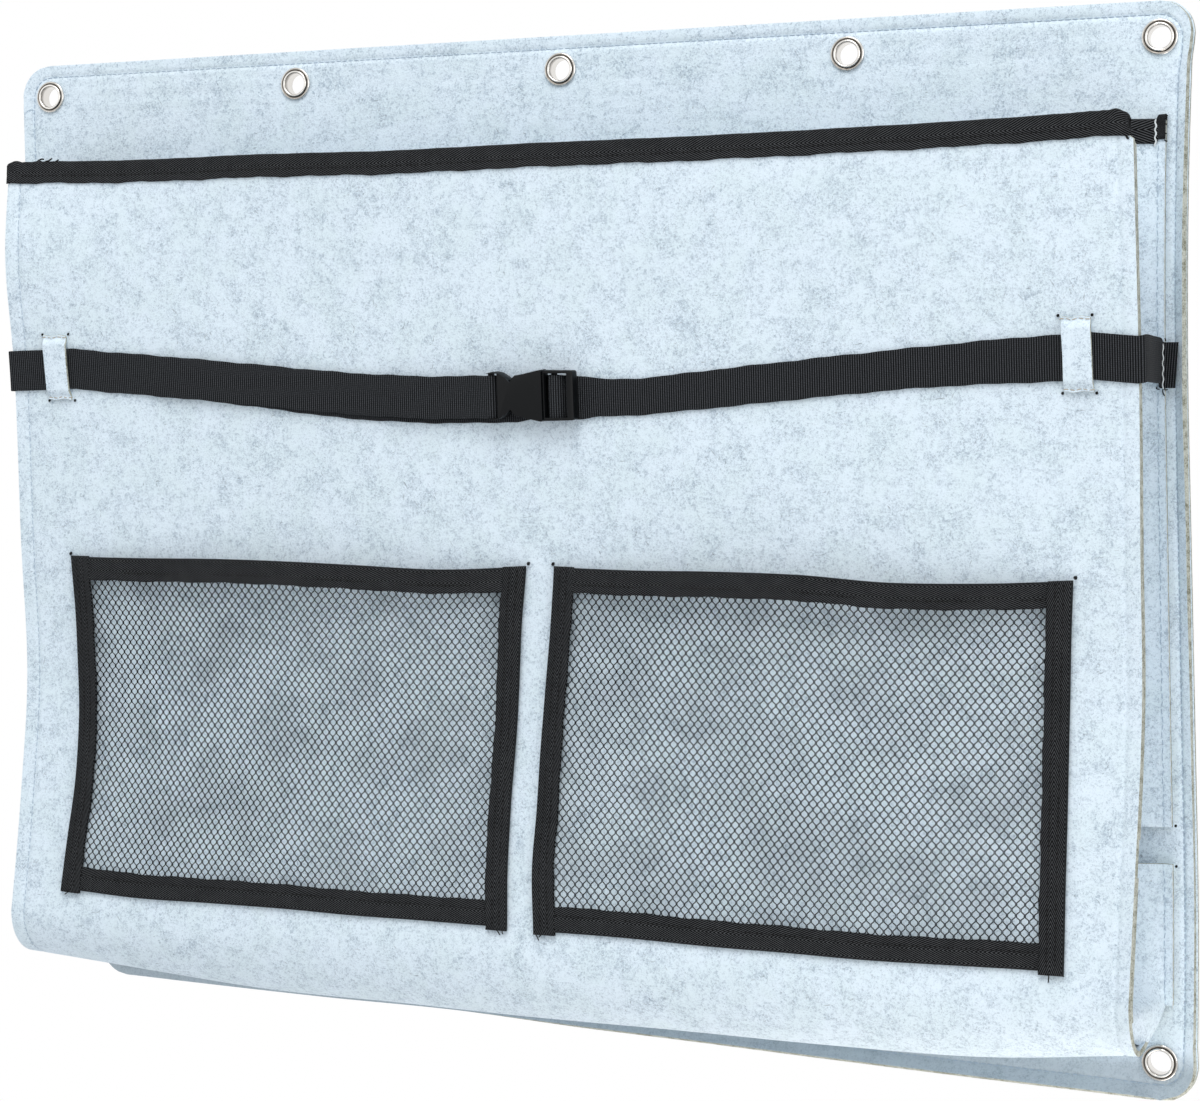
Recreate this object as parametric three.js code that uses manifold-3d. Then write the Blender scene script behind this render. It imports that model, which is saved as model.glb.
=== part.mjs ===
// Hanging organizer bag: a felt back panel that hangs by eyelets, and a felt pouch sewn to its front,
// with folding side gussets, two mesh pockets and a webbing strap with a side-release buckle.
// Millimetres, +Z up. The bag's front looks along -Y, and +X is its right side as seen from the front.
// The origin is the centre of the middle top eyelet, on the rear face of the back panel.

import * as THREE from 'three';
import { mergeVertices } from 'three/addons/utils/BufferGeometryUtils.js';
import Module from 'manifold-3d';

const wasm = await Module();
wasm.setup();

// Felt
const FELT = 3; // one layer
const GAP = 0.3; // between pieces that touch
const SEAT = 0.5; // between a curved piece and the cloth that it lies on

// Back panel, two layers of felt
const PANEL_WIDTH = 750;
const PANEL_HEIGHT = 600;
const PANEL_RADIUS = 20;
const SWING = 95; // how far the lower left corner hangs back of the plane of the top edge
const FLAT_SHARE = 0.1; // the strips along the top and right edges that stay flat
const SWING_BLEND = 0.25; // the stretch over which the swing begins
const PANEL_COLUMNS = 10;
const PANEL_ROWS = 20;

// Eyelets
const EYELET_INSET = 20;
const EYELET_FLANGE = 20;
const EYELET_BORE = 13.2;
const EYELET_METAL = 0.5;
const EYELET_CROWN = 1.9;
const EYELET_FIT = 0.2; // between the barrel and the felt
const WASHER_METAL = 0.8;
const TOP_EYELETS = 5;
const EYELET_SIDES = 16;

// Front sheet: front and bottom of the pouch in one piece
const FRONT_INSET = 19; // its side edges, inside the panel's
const FRONT_DROP = 66; // its top edge, below the top of the panel
const FRONT_CLEAR = 28; // its lowest point, above the panel's lower edge
const FRONT_DEPTHS = [60, 53, 46, 41, 36, 43, 54]; // in front of the panel, evenly spaced down the front
const FRONT_SLANT = 15; // how much further forward the right edge is than the middle
const ROLL_HEIGHT = 36; // the rounded lower front edge
const ROLL_DEPTH = 30;
const ROLL_STEPS = 6;
const BOTTOM_RISE = 9; // how much higher the bottom is at its two sides
const BACK_RISE = 8; // how much higher the bottom is at the back seam
const BACK_FOLD = 5; // the bend from the bottom to the hem
const HEM = 10; // sewn down onto the panel
const FRONT_COLUMNS = 14;
const FRONT_ROWS = 16;

// Side gussets, each folded inward and cut in two
const GUSSET_CUT = 140; // unfolded width between the seams
const FRONT_FLANGE = 9;
const BACK_FLANGE = 5.5;
const BACK_SEAM_INSET = 18.5;
const FOLD_SOFTNESS = 0.4;
const SLOT_CLEAR = 129; // the bottom of the side slot, above the panel's lower edge
const SLOT_HEIGHT = 20;
const GUSSET_REACH = 10; // how far its front flange follows the rounded lower edge
const GUSSET_OPENING = 60; // the height over which its fold opens out to its lower end
const GUSSET_STEPS = 14;
const FLANGE_STEPS = 2; // of those, in each flange
const UPPER_ROWS = 12;
const LOWER_ROWS = 5;

// Binding tape and its folds
const TAPE_WIDTH = 12.5; // folded
const TAPE = 0.7;
const FOLD_STEPS = 9; // around the fold, a third of them in each leg

// Mesh pockets
const POCKET_INSET = 39; // the pockets' outer edges, inside the front sheet's
const POCKET_HEIGHT = 205;
const POCKET_CLEAR = 81; // the bottom of the pockets, above the panel's lower edge
const POCKET_SPACE = 20; // between the two pockets
const POCKET_BULGE = 11; // how far the middle of a pocket's mouth stands off the felt
const POCKET_TAPE = 1.8;
const MOUTH_STEPS = 14; // along a pocket's top tape
const TAPE_STEPS = 8; // along its other tapes
const NET = 0.9;
const NET_COLUMNS = 8;
const NET_ROWS = 5;
const NET_STRAND = 3.6;

// Strap
const STRAP_WIDTH = 25;
const WEBBING = 1.2;
const STRAP_DROP = 197; // the strap's middle line at the keepers, below the top of the panel
const STRAP_SAG = 17.5;
const STRAP_SEWN = 8.5; // the end that is sewn to the panel past the back seam
const TAIL_LENGTH = 255; // the free end past the buckle's mouth
const LAP_LENGTH = 60; // the left webbing, folded back behind itself
const STEP_RUN = 16; // the length over which the webbing rises onto a layer beneath it
const BAR_RUN = 14; // and over which it rises to the buckle's bars
const SIDE_BEND = 4; // the bend where the webbing meets the panel
const SLOT_BEND = 0.6; // how far the webbing's bends keep from the middle of a slot
const BAR_BEND = 0.9; // how far its bends keep from a bar's faces
const STRAP_STEPS = 2; // facets between the points of a webbing's route
const SIDE_STEPS = 24; // around the bag's edge
const KEEPER_WIDTH = 16.5;
const KEEPER_HEIGHT = 40;
const KEEPER_FELT = 2;
const KEEPER_INSET = 33; // its middle, from the front sheet's edge
const KEEPER_HEM = 3.5;
const KEEPER_ROOM = 2; // beside the strap, before the loop comes down to its seam
const KEEPER_ROWS = 20;

// Side-release buckle
const SOCKET_X = -5; // the middle of the socket, along the bag
const SOCKET_LENGTH = 35;
const BUCKLE_THICKNESS = 8.6;
const BUCKLE_WALL = 1.5;
const MOUTH_HALF = 14.9; // half the socket's width at its mouth
const LUG_HALF = 14; // and at the strap bar
const NOTCH_HALF = 7.8; // and in the notches where the prongs are pressed
const NOTCH_SHARE = 0.42; // the notches' place along the socket
const NOTCH_RUN = 7.5; // the length of the notch's mouthward flank
const LUG_LENGTH = 7.4;
const CORNER = 0.8; // the bevels at the buckle's corners
const CAVITY_HALF = 12.6;
const CAVITY_START = 1.5; // how far the cavity begins before the notches
const STRAP_FIT = 0.5; // beside the webbing in the buckle's slots
const STRAP_BAR = 2.6;
const STRAP_SLOT = 4.2;
const PLUG_LENGTH = 19.5;
const PLUG_THICKNESS = 6.4;
const PLUG_HALF = 14.6;
const PLUG_TAPER = 0.4; // how much narrower each side is at its far end
const PLUG_RIM = 1.8;
const PLUG_NECK = 1.2; // the solid stretch behind the mouth
const MIDDLE_BAR = 3.3;
const MIDDLE_BAR_BACK = 1.8; // its rear face, behind the buckle's middle
const MIDDLE_BAR_THICKNESS = 2.2;
const END_BAR = 4;
const NEAR_SLOT = 3.5;
const TONGUE_HALF = 4.5;
const TONGUE_THICKNESS = 3;
const PRONG_LENGTH = 21;
const PRONG_WIDTH = 2.8;
const PRONG_FIT = 0.4; // between the prong's head and the cavity's side wall
const INNER_FIT = 0.5; // between the prongs and the cavity's front and back walls
const PRONG_HEAD = 7.2; // the length of a prong's shouldered head
const PRONG_SHOULDER = 0.8; // how far the head stands out past the arm
const TONGUE_SHARE = 0.8; // the tongue's length as a share of the prongs'

// How far a cutting solid reaches past the faces that it cuts, and into a solid that it joins
const CLEAR = 1;
const JOINED = 0.01;

// Materials
const feltMaterial = { color: 0xcfdde8, roughness: 0.95, metalness: 0 };
const tapeMaterial = { color: 0x17181b, roughness: 0.8, metalness: 0 };
const webbingMaterial = { color: 0x1b1b1d, roughness: 0.7, metalness: 0 };
const netMaterial = { color: 0x222326, roughness: 0.8, metalness: 0 };
const plasticMaterial = { color: 0x17181a, roughness: 0.45, metalness: 0 };
const nickelMaterial = { color: 0xd9d2c6, roughness: 0.25, metalness: 1 };

// What the sizes above give
const PANEL_THICKNESS = 2 * FELT + GAP;
const PANEL_TOP = EYELET_INSET;
const PANEL_BOTTOM = PANEL_TOP - PANEL_HEIGHT;
const FRONT_WIDTH = PANEL_WIDTH - 2 * FRONT_INSET;
const FRONT_TOP = PANEL_TOP - FRONT_DROP;
const FRONT_LOWEST = PANEL_BOTTOM + FRONT_CLEAR;
const ROLL_TOP = FRONT_LOWEST + ROLL_HEIGHT;
const SLOT_BOTTOM = PANEL_BOTTOM + SLOT_CLEAR;
const SLOT_TOP = SLOT_BOTTOM + SLOT_HEIGHT;
const STRAP_LINE = PANEL_TOP - STRAP_DROP;
const POCKET_WIDTH = (FRONT_WIDTH - POCKET_SPACE) / 2 - POCKET_INSET;
const POCKET_TOP = PANEL_BOTTOM + POCKET_CLEAR + POCKET_HEIGHT;
const BARREL_RADIUS = EYELET_BORE / 2 + EYELET_METAL;
const KEEPER_X = FRONT_WIDTH / 2 - KEEPER_INSET;
const TAIL_OUT = SEAT + WEBBING / 2; // the free end's middle, out from the front sheet
const LAP_OUT = TAIL_OUT + WEBBING + GAP;
const COVER_OUT = LAP_OUT + WEBBING + GAP;
const BUCKLE_OUT = SEAT + WEBBING + GAP + BUCKLE_THICKNESS / 2;
const SOCKET_END = SOCKET_X - SOCKET_LENGTH / 2;
const MOUTH_X = SOCKET_X + SOCKET_LENGTH / 2;
const LEFT = -1;
const RIGHT = 1;

const organizer = new THREE.Group();

function addPart(name, geometry, material) {
  const mesh = new THREE.Mesh(geometry, new THREE.MeshStandardMaterial(material));
  mesh.name = name;
  organizer.add(mesh);
  return mesh;
}

// Curves and surfaces

// 0 up to start, then a soft beginning, then a straight rise to 1 at t = 1.
function softRamp(t, start, blend) {
  const past = Math.max(0, t - start);
  const rise = past < blend ? (past * past) / (2 * blend) : past - blend / 2;
  return rise / (1 - start - blend / 2);
}

// A smooth curve through values that are evenly spaced over t = 0..1.
function smoothThrough(values, t) {
  const last = values.length - 1;
  const place = Math.min(Math.max(t, 0), 1) * last;
  const i = Math.min(Math.floor(place), last - 1);
  const f = place - i;
  const p1 = values[i];
  const p2 = values[i + 1];
  const p0 = i > 0 ? values[i - 1] : 2 * p1 - p2;
  const p3 = i + 2 <= last ? values[i + 2] : 2 * p2 - p1;
  const bend = (2 * p0 - 5 * p1 + 4 * p2 - p3) * f * f + (3 * p1 - p0 - 3 * p2 + p3) * f * f * f;
  return p1 + 0.5 * ((p2 - p0) * f + bend);
}

function mix(a, b, t) {
  return a + (b - a) * t;
}

// The rear face of the back panel: the lower left corner swings back.
function panelRear(x, z) {
  const across = softRamp((PANEL_WIDTH / 2 - x) / PANEL_WIDTH, FLAT_SHARE, SWING_BLEND);
  const down = softRamp((PANEL_TOP - z) / PANEL_HEIGHT, FLAT_SHARE, SWING_BLEND);
  return SWING * across * down;
}

function panelFront(x, z) {
  return panelRear(x, z) - PANEL_THICKNESS;
}

// The outer face of the front sheet, from its top edge to the start of its rounded lower edge.
function frontFace(x, z) {
  const depth = smoothThrough(FRONT_DEPTHS, (FRONT_TOP - z) / (FRONT_TOP - ROLL_TOP));
  return -PANEL_THICKNESS - depth - (FRONT_SLANT * x) / (FRONT_WIDTH / 2);
}

// The lowest line of the pouch is level in the middle and rises to its sides.
function pouchBottom(x) {
  return FRONT_LOWEST + BOTTOM_RISE * Math.abs(x / (FRONT_WIDTH / 2)) ** 2;
}

// The strap's middle line hangs as a shallow arc between the keepers, level at the buckle.
function strapLine(x) {
  const level = (SOCKET_LENGTH + PLUG_LENGTH) / 2;
  const away = Math.max(0, Math.abs(x - MOUTH_X) - level) / (KEEPER_X - level);
  return STRAP_LINE - STRAP_SAG * Math.max(0, 1 - away ** 2);
}

// A place that far out from the front sheet's outer face.
function onFront(x, z, out) {
  return new THREE.Vector3(x, frontFace(x, z) - out, z);
}

// Solids

// A sheet of even thickness about the surface point(u, v), with u and v from 0 to 1.
function sheetSolid(point, thickness, across, along) {
  const box = new THREE.BoxGeometry(1, 1, 1, across, 1, along);
  const places = box.attributes.position;
  const step = 1e-4;
  for (let i = 0; i < places.count; i += 1) {
    const u = places.getX(i) + 0.5;
    const v = places.getZ(i) + 0.5;
    const uLow = Math.max(0, u - step);
    const vLow = Math.max(0, v - step);
    const alongU = point(Math.min(1, u + step), v).sub(point(uLow, v));
    const alongV = point(u, Math.min(1, v + step)).sub(point(u, vLow));
    const normal = alongV.cross(alongU).normalize();
    const place = point(u, v).addScaledVector(normal, places.getY(i) * thickness);
    places.setXYZ(i, place.x, place.y, place.z);
  }
  return closedFrom(box);
}

function closedFrom(geometry) {
  const bare = geometry.clone();
  bare.deleteAttribute('normal');
  bare.deleteAttribute('uv');
  const closed = mergeVertices(bare, 1e-4);
  closed.computeVertexNormals();
  return closed;
}

function toManifold(geometry) {
  const closed = closedFrom(geometry.index ? geometry : mergeVertices(geometry));
  const vertProperties = new Float32Array(closed.attributes.position.array);
  const triVerts = new Uint32Array(closed.index.array);
  return new wasm.Manifold(new wasm.Mesh({ numProp: 3, vertProperties, triVerts }));
}

function fromManifold(solid) {
  const mesh = solid.getMesh();
  const geometry = new THREE.BufferGeometry();
  geometry.setAttribute('position', new THREE.BufferAttribute(new Float32Array(mesh.vertProperties), 3));
  geometry.setIndex(new THREE.BufferAttribute(new Uint32Array(mesh.triVerts), 1));
  geometry.computeVertexNormals();
  return geometry;
}

function cut(geometry, tools) {
  return fromManifold(tools.reduce((solid, tool) => solid.subtract(toManifold(tool)), toManifold(geometry)));
}

function boxAt(x0, x1, y0, y1, z0, z1) {
  const box = new THREE.BoxGeometry(x1 - x0, y1 - y0, z1 - z0);
  return box.translate((x0 + x1) / 2, (y0 + y1) / 2, (z0 + z1) / 2);
}

// An outline drawn in X and Z, thickened along Y from y0 to y1.
function plateOf(shape, y0, y1, curveSegments = 4) {
  const plate = new THREE.ExtrudeGeometry(shape, { depth: y1 - y0, bevelEnabled: false, curveSegments });
  return plate.rotateX(Math.PI / 2).translate(0, y1, 0);
}

function roundedRectangle(width, height, radius) {
  const shape = new THREE.Shape();
  const x = width / 2;
  const y = height / 2;
  shape.moveTo(radius - x, -y);
  shape.lineTo(x - radius, -y);
  shape.absarc(x - radius, radius - y, radius, -Math.PI / 2, 0);
  shape.lineTo(x, y - radius);
  shape.absarc(x - radius, y - radius, radius, 0, Math.PI / 2);
  shape.lineTo(radius - x, y);
  shape.absarc(radius - x, y - radius, radius, Math.PI / 2, Math.PI);
  shape.lineTo(-x, radius - y);
  shape.absarc(radius - x, radius - y, radius, Math.PI, 1.5 * Math.PI);
  return shape;
}

// Back panel and eyelets

function eyeletPlaces() {
  const reach = PANEL_WIDTH / 2 - EYELET_INSET;
  const places = [];
  for (let i = 0; i < TOP_EYELETS; i += 1) {
    places.push({ name: `top_${i + 1}`, x: mix(-reach, reach, i / (TOP_EYELETS - 1)), z: PANEL_TOP - EYELET_INSET });
  }
  places.push({ name: 'bottom_left', x: -reach, z: PANEL_BOTTOM + EYELET_INSET });
  places.push({ name: 'bottom_right', x: reach, z: PANEL_BOTTOM + EYELET_INSET });
  return places;
}

// Turns and moves a geometry whose axis is Y, so that it sits square on the panel's rear face.
function seatOnPanel(geometry, place) {
  const step = 1;
  const slopeX = (panelRear(place.x + step, place.z) - panelRear(place.x - step, place.z)) / (2 * step);
  const slopeZ = (panelRear(place.x, place.z + step) - panelRear(place.x, place.z - step)) / (2 * step);
  const normal = new THREE.Vector3(-slopeX, 1, -slopeZ).normalize();
  const turn = new THREE.Quaternion().setFromUnitVectors(new THREE.Vector3(0, 1, 0), normal);
  return geometry.applyQuaternion(turn).translate(place.x, panelRear(place.x, place.z), place.z);
}

function panelLayer(frontOffset) {
  const middle = frontOffset + FELT / 2;
  const sheet = sheetSolid(
    (u, v) => {
      const x = mix(-PANEL_WIDTH / 2, PANEL_WIDTH / 2, u);
      const z = mix(PANEL_BOTTOM, PANEL_TOP, v);
      return new THREE.Vector3(x, panelRear(x, z) - middle, z);
    },
    FELT,
    PANEL_COLUMNS,
    PANEL_ROWS,
  );
  const outline = plateOf(roundedRectangle(PANEL_WIDTH, PANEL_HEIGHT, PANEL_RADIUS), -SWING, 2 * SWING, 6);
  outline.translate(0, 0, (PANEL_TOP + PANEL_BOTTOM) / 2);
  const holes = eyeletPlaces().map((place) => {
    const bore = BARREL_RADIUS + EYELET_FIT;
    return seatOnPanel(new THREE.CylinderGeometry(bore, bore, 6 * PANEL_THICKNESS, EYELET_SIDES), place);
  });
  const rounded = toManifold(sheet).intersect(toManifold(outline));
  return fromManifold(holes.reduce((solid, hole) => solid.subtract(toManifold(hole)), rounded));
}

// A closed ring, turned about Y from a profile of [radius, y] points.
function ring(profile) {
  const points = profile.map(([radius, y]) => new THREE.Vector2(radius, y));
  points.push(points[0].clone());
  return new THREE.LatheGeometry(points, EYELET_SIDES);
}

// The eyelet's domed flange sits on the front felt and its barrel is rolled over the washer behind.
function eyeletGeometry() {
  const front = -PANEL_THICKNESS - GAP;
  const back = WASHER_METAL + 2 * GAP;
  const bore = EYELET_BORE / 2;
  const rim = EYELET_FLANGE / 2;
  const crest = mix(bore, rim, 0.45);
  const roll = BARREL_RADIUS + 2 * EYELET_METAL;
  return ring([
    [bore, back + EYELET_METAL],
    [bore, front - EYELET_CROWN * 0.6],
    [mix(bore, crest, 0.5), front - EYELET_CROWN],
    [crest, front - EYELET_CROWN],
    [rim, front - EYELET_METAL],
    [rim, front],
    [BARREL_RADIUS, front],
    [BARREL_RADIUS, back],
    [roll, back],
    [roll, back + EYELET_METAL],
  ]);
}

function washerGeometry() {
  const inner = BARREL_RADIUS + EYELET_FIT;
  const outer = EYELET_FLANGE / 2;
  return ring([
    [inner, GAP],
    [outer, GAP],
    [outer, GAP + WASHER_METAL],
    [inner, GAP + WASHER_METAL],
  ]);
}

function addBackPanel() {
  addPart('back_panel_rear', panelLayer(0), feltMaterial);
  addPart('back_panel_front', panelLayer(FELT + GAP), feltMaterial);
  for (const place of eyeletPlaces()) {
    addPart(`eyelet_${place.name}`, seatOnPanel(eyeletGeometry(), place), nickelMaterial);
    addPart(`eyelet_washer_${place.name}`, seatOnPanel(washerGeometry(), place), nickelMaterial);
  }
}

// Front sheet

// How far the front sheet's outer face has curved back at a height on the rounded lower edge.
function rollBack(x, z) {
  const share = Math.min(1, Math.max(0, (ROLL_TOP - z) / (ROLL_TOP - pouchBottom(x))));
  return ROLL_DEPTH * (1 - Math.sqrt(1 - share * share));
}

// The middle of the front sheet's felt at one place across: down the front, round the lower edge, back to
// the panel and down onto it as a hem.
function frontColumn(x) {
  const points = [];
  for (let i = 0; i <= FRONT_ROWS; i += 1) {
    const z = mix(FRONT_TOP, ROLL_TOP, i / FRONT_ROWS);
    points.push([frontFace(x, z) + FELT / 2, z]);
  }
  const [startY, startZ] = points[points.length - 1];
  const lowest = pouchBottom(x) + FELT / 2;
  for (let i = 1; i <= ROLL_STEPS; i += 1) {
    const turn = (i / ROLL_STEPS) * (Math.PI / 2);
    points.push([startY + ROLL_DEPTH * (1 - Math.cos(turn)), mix(startZ, lowest, Math.sin(turn))]);
  }
  const seam = lowest + BACK_RISE;
  const onPanel = (z) => panelFront(x, z) - SEAT - FELT / 2;
  points.push([mix(startY + ROLL_DEPTH, onPanel(seam), 0.5), mix(lowest, seam, 0.2)]);
  points.push([onPanel(seam) - BACK_FOLD, seam]);
  points.push([onPanel(seam - FELT), seam - FELT]);
  points.push([onPanel(seam - HEM), seam - HEM]);
  return points;
}

function addFrontSheet() {
  const rows = frontColumn(0).length - 1;
  const sheet = sheetSolid(
    (u, v) => {
      const x = mix(-FRONT_WIDTH / 2, FRONT_WIDTH / 2, u);
      const column = frontColumn(x);
      const place = Math.min(v * rows, rows - 1e-9);
      const i = Math.floor(place);
      const f = place - i;
      return new THREE.Vector3(x, mix(column[i][0], column[i + 1][0], f), mix(column[i][1], column[i + 1][1], f));
    },
    FELT,
    FRONT_COLUMNS,
    rows,
  );
  addPart('front_sheet', sheet, feltMaterial);
}

// Binding tape

// The place on a tape folded over an edge: w runs from 0 at the end of one leg, over the fold, to 1 at the
// end of the other. It returns how far the tape's middle is off the cloth's middle, and how far below the edge.
function foldPlace(w, clothThickness) {
  const off = clothThickness / 2 + GAP + TAPE / 2;
  if (w < 1 / 3) return [off, mix(TAPE_WIDTH, 0, w * 3)];
  if (w > 2 / 3) return [-off, mix(0, TAPE_WIDTH, w * 3 - 2)];
  const turn = (w * 3 - 1) * Math.PI;
  return [off * Math.cos(turn), -(GAP + TAPE) * Math.sin(turn)];
}

function addFrontBinding() {
  const binding = sheetSolid(
    (u, v) => {
      const [off, below] = foldPlace(v, FELT);
      const x = mix(-FRONT_WIDTH / 2, FRONT_WIDTH / 2, u);
      const z = FRONT_TOP - Math.max(0, below);
      const y = frontFace(x, z) + FELT / 2;
      return new THREE.Vector3(x, y - off, FRONT_TOP - below);
    },
    TAPE,
    FRONT_COLUMNS,
    FOLD_STEPS,
  );
  addPart('front_top_binding', binding, tapeMaterial);
}

// Side gussets

// How far the gusset's flanges are off the front sheet and the panel: most at the top, where tape lies between.
function seamGap(z) {
  const room = 3 * GAP + TAPE;
  return mix(room, SEAT, Math.min(1, Math.max(0, (FRONT_TOP - z) / (FRONT_TOP - SLOT_TOP))));
}

// The middle of the gusset's felt at one height: s runs from the raw edge under the front sheet, along the
// front flange, in to the fold, out to the back seam and along the back flange.
function gussetPoint(side, s, z) {
  const frontSeam = FRONT_WIDTH / 2 - FRONT_FLANGE;
  const backSeam = PANEL_WIDTH / 2 - BACK_SEAM_INSET;
  const steep = Math.hypot(1, rollBack(side * frontSeam, z - 0.5) - rollBack(side * frontSeam, z + 0.5));
  const inFront = FELT * 1.5 + seamGap(z);
  const onFrontSheet = (x) => frontFace(side * x, z) + rollBack(side * x, z) + inFront * steep;
  const onPanel = (x) => panelFront(side * x, z) - seamGap(z) - FELT / 2;
  const flangeShare = FLANGE_STEPS / GUSSET_STEPS;
  if (s <= flangeShare) {
    const x = mix(FRONT_WIDTH / 2, frontSeam, s / flangeShare);
    return new THREE.Vector3(side * x, onFrontSheet(x), z);
  }
  if (s >= 1 - flangeShare) {
    const x = mix(backSeam, backSeam + BACK_FLANGE, (s - 1 + flangeShare) / flangeShare);
    return new THREE.Vector3(side * x, onPanel(x), z);
  }
  const t = (s - flangeShare) / (1 - 2 * flangeShare);
  const depth = onPanel(backSeam) - onFrontSheet(frontSeam);
  const folded = Math.min(1, Math.max(0, (z - ROLL_TOP + GUSSET_REACH) / GUSSET_OPENING));
  const dip = Math.sin((folded * Math.PI) / 2) * Math.sqrt((GUSSET_CUT / 2) ** 2 - (depth / 2) ** 2);
  const soft = Math.hypot(1, FOLD_SOFTNESS);
  const inward = (soft - Math.hypot(2 * t - 1, FOLD_SOFTNESS)) / (soft - FOLD_SOFTNESS);
  const x = mix(frontSeam, backSeam, t) - dip * inward;
  return new THREE.Vector3(side * x, onFrontSheet(frontSeam) + depth * t, z);
}

// The lower gusset ends just above the inside of the pouch's bottom, which rounds up to the front.
function gussetEnd(side, s) {
  const seamX = side * (FRONT_WIDTH / 2 - FRONT_FLANGE);
  const start = ROLL_TOP - GUSSET_REACH;
  const inside = gussetPoint(side, s, start).y - frontFace(seamX, start) - FELT;
  const share = Math.max(0, 1 - (inside - FELT) / (ROLL_DEPTH - FELT));
  const floor = pouchBottom(seamX) + FELT + BACK_RISE * Math.min(1, inside / FRONT_DEPTHS[0]);
  const curved = ROLL_TOP - (ROLL_TOP - floor) * Math.sqrt(1 - share * share);
  return Math.min(start, curved + FELT);
}

function gussetPiece(side, top, bottom, rows) {
  const mapped = (u, v) => {
    const s = side === RIGHT ? u : 1 - u;
    return gussetPoint(side, s, mix(bottom(s), top, v));
  };
  return sheetSolid(mapped, FELT, GUSSET_STEPS, rows);
}

// The gusset's tape starts one step past the front flange, clear of the front binding's end.
function gussetBinding(side) {
  const bare = FLANGE_STEPS + 1;
  const start = bare / GUSSET_STEPS;
  const mapped = (u, v) => {
    const s = mix(start, 1, side === RIGHT ? u : 1 - u);
    const [off, below] = foldPlace(v, FELT);
    const z = FRONT_TOP - Math.max(0, below);
    const place = gussetPoint(side, s, z);
    const ahead = gussetPoint(side, Math.min(1, s + 1e-3), z).sub(gussetPoint(side, Math.max(0, s - 1e-3), z));
    const across = new THREE.Vector3(ahead.y, -ahead.x, 0).normalize();
    place.z = FRONT_TOP - below;
    return place.addScaledVector(across, off * side);
  };
  return sheetSolid(mapped, TAPE, GUSSET_STEPS - bare, FOLD_STEPS);
}

function addGussets() {
  for (const [name, side] of [['left', LEFT], ['right', RIGHT]]) {
    addPart(`gusset_${name}_upper`, gussetPiece(side, FRONT_TOP, () => SLOT_TOP, UPPER_ROWS), feltMaterial);
    const end = (s) => gussetEnd(side, s);
    addPart(`gusset_${name}_lower`, gussetPiece(side, SLOT_BOTTOM, end, LOWER_ROWS), feltMaterial);
    addPart(`gusset_${name}_binding`, gussetBinding(side), tapeMaterial);
  }
}

// Mesh pockets

// How far a pocket's net stands off the front felt, at shares across and down the pocket.
function pocketStand(across, down) {
  return SEAT + POCKET_BULGE * Math.sin(Math.PI * across) ** 0.8 * (1 - down) ** 0.7;
}

// A place on a pocket: millimetres from its left edge, down from its top, and out from the net's rear face.
function pocketPlace(side, fromLeft, down, out) {
  const left = side === LEFT ? -POCKET_WIDTH - POCKET_SPACE / 2 : POCKET_SPACE / 2;
  const x = left + fromLeft;
  const z = POCKET_TOP - down;
  const stand = pocketStand(
    Math.min(Math.max(fromLeft / POCKET_WIDTH, 0), 1),
    Math.min(Math.max(down / POCKET_HEIGHT, 0), 1),
  );
  return new THREE.Vector3(x, frontFace(x, z) - stand - out, z);
}

// A strip of folded tape on a pocket, from one corner to the other in millimetres on the pocket.
function pocketTape(side, x0, x1, down0, down1, columns, rows) {
  const middle = POCKET_TAPE / 2;
  const mapped = (u, v) => pocketPlace(side, mix(x0, x1, u), mix(down1, down0, v), middle);
  return sheetSolid(mapped, POCKET_TAPE, columns, rows);
}

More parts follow.
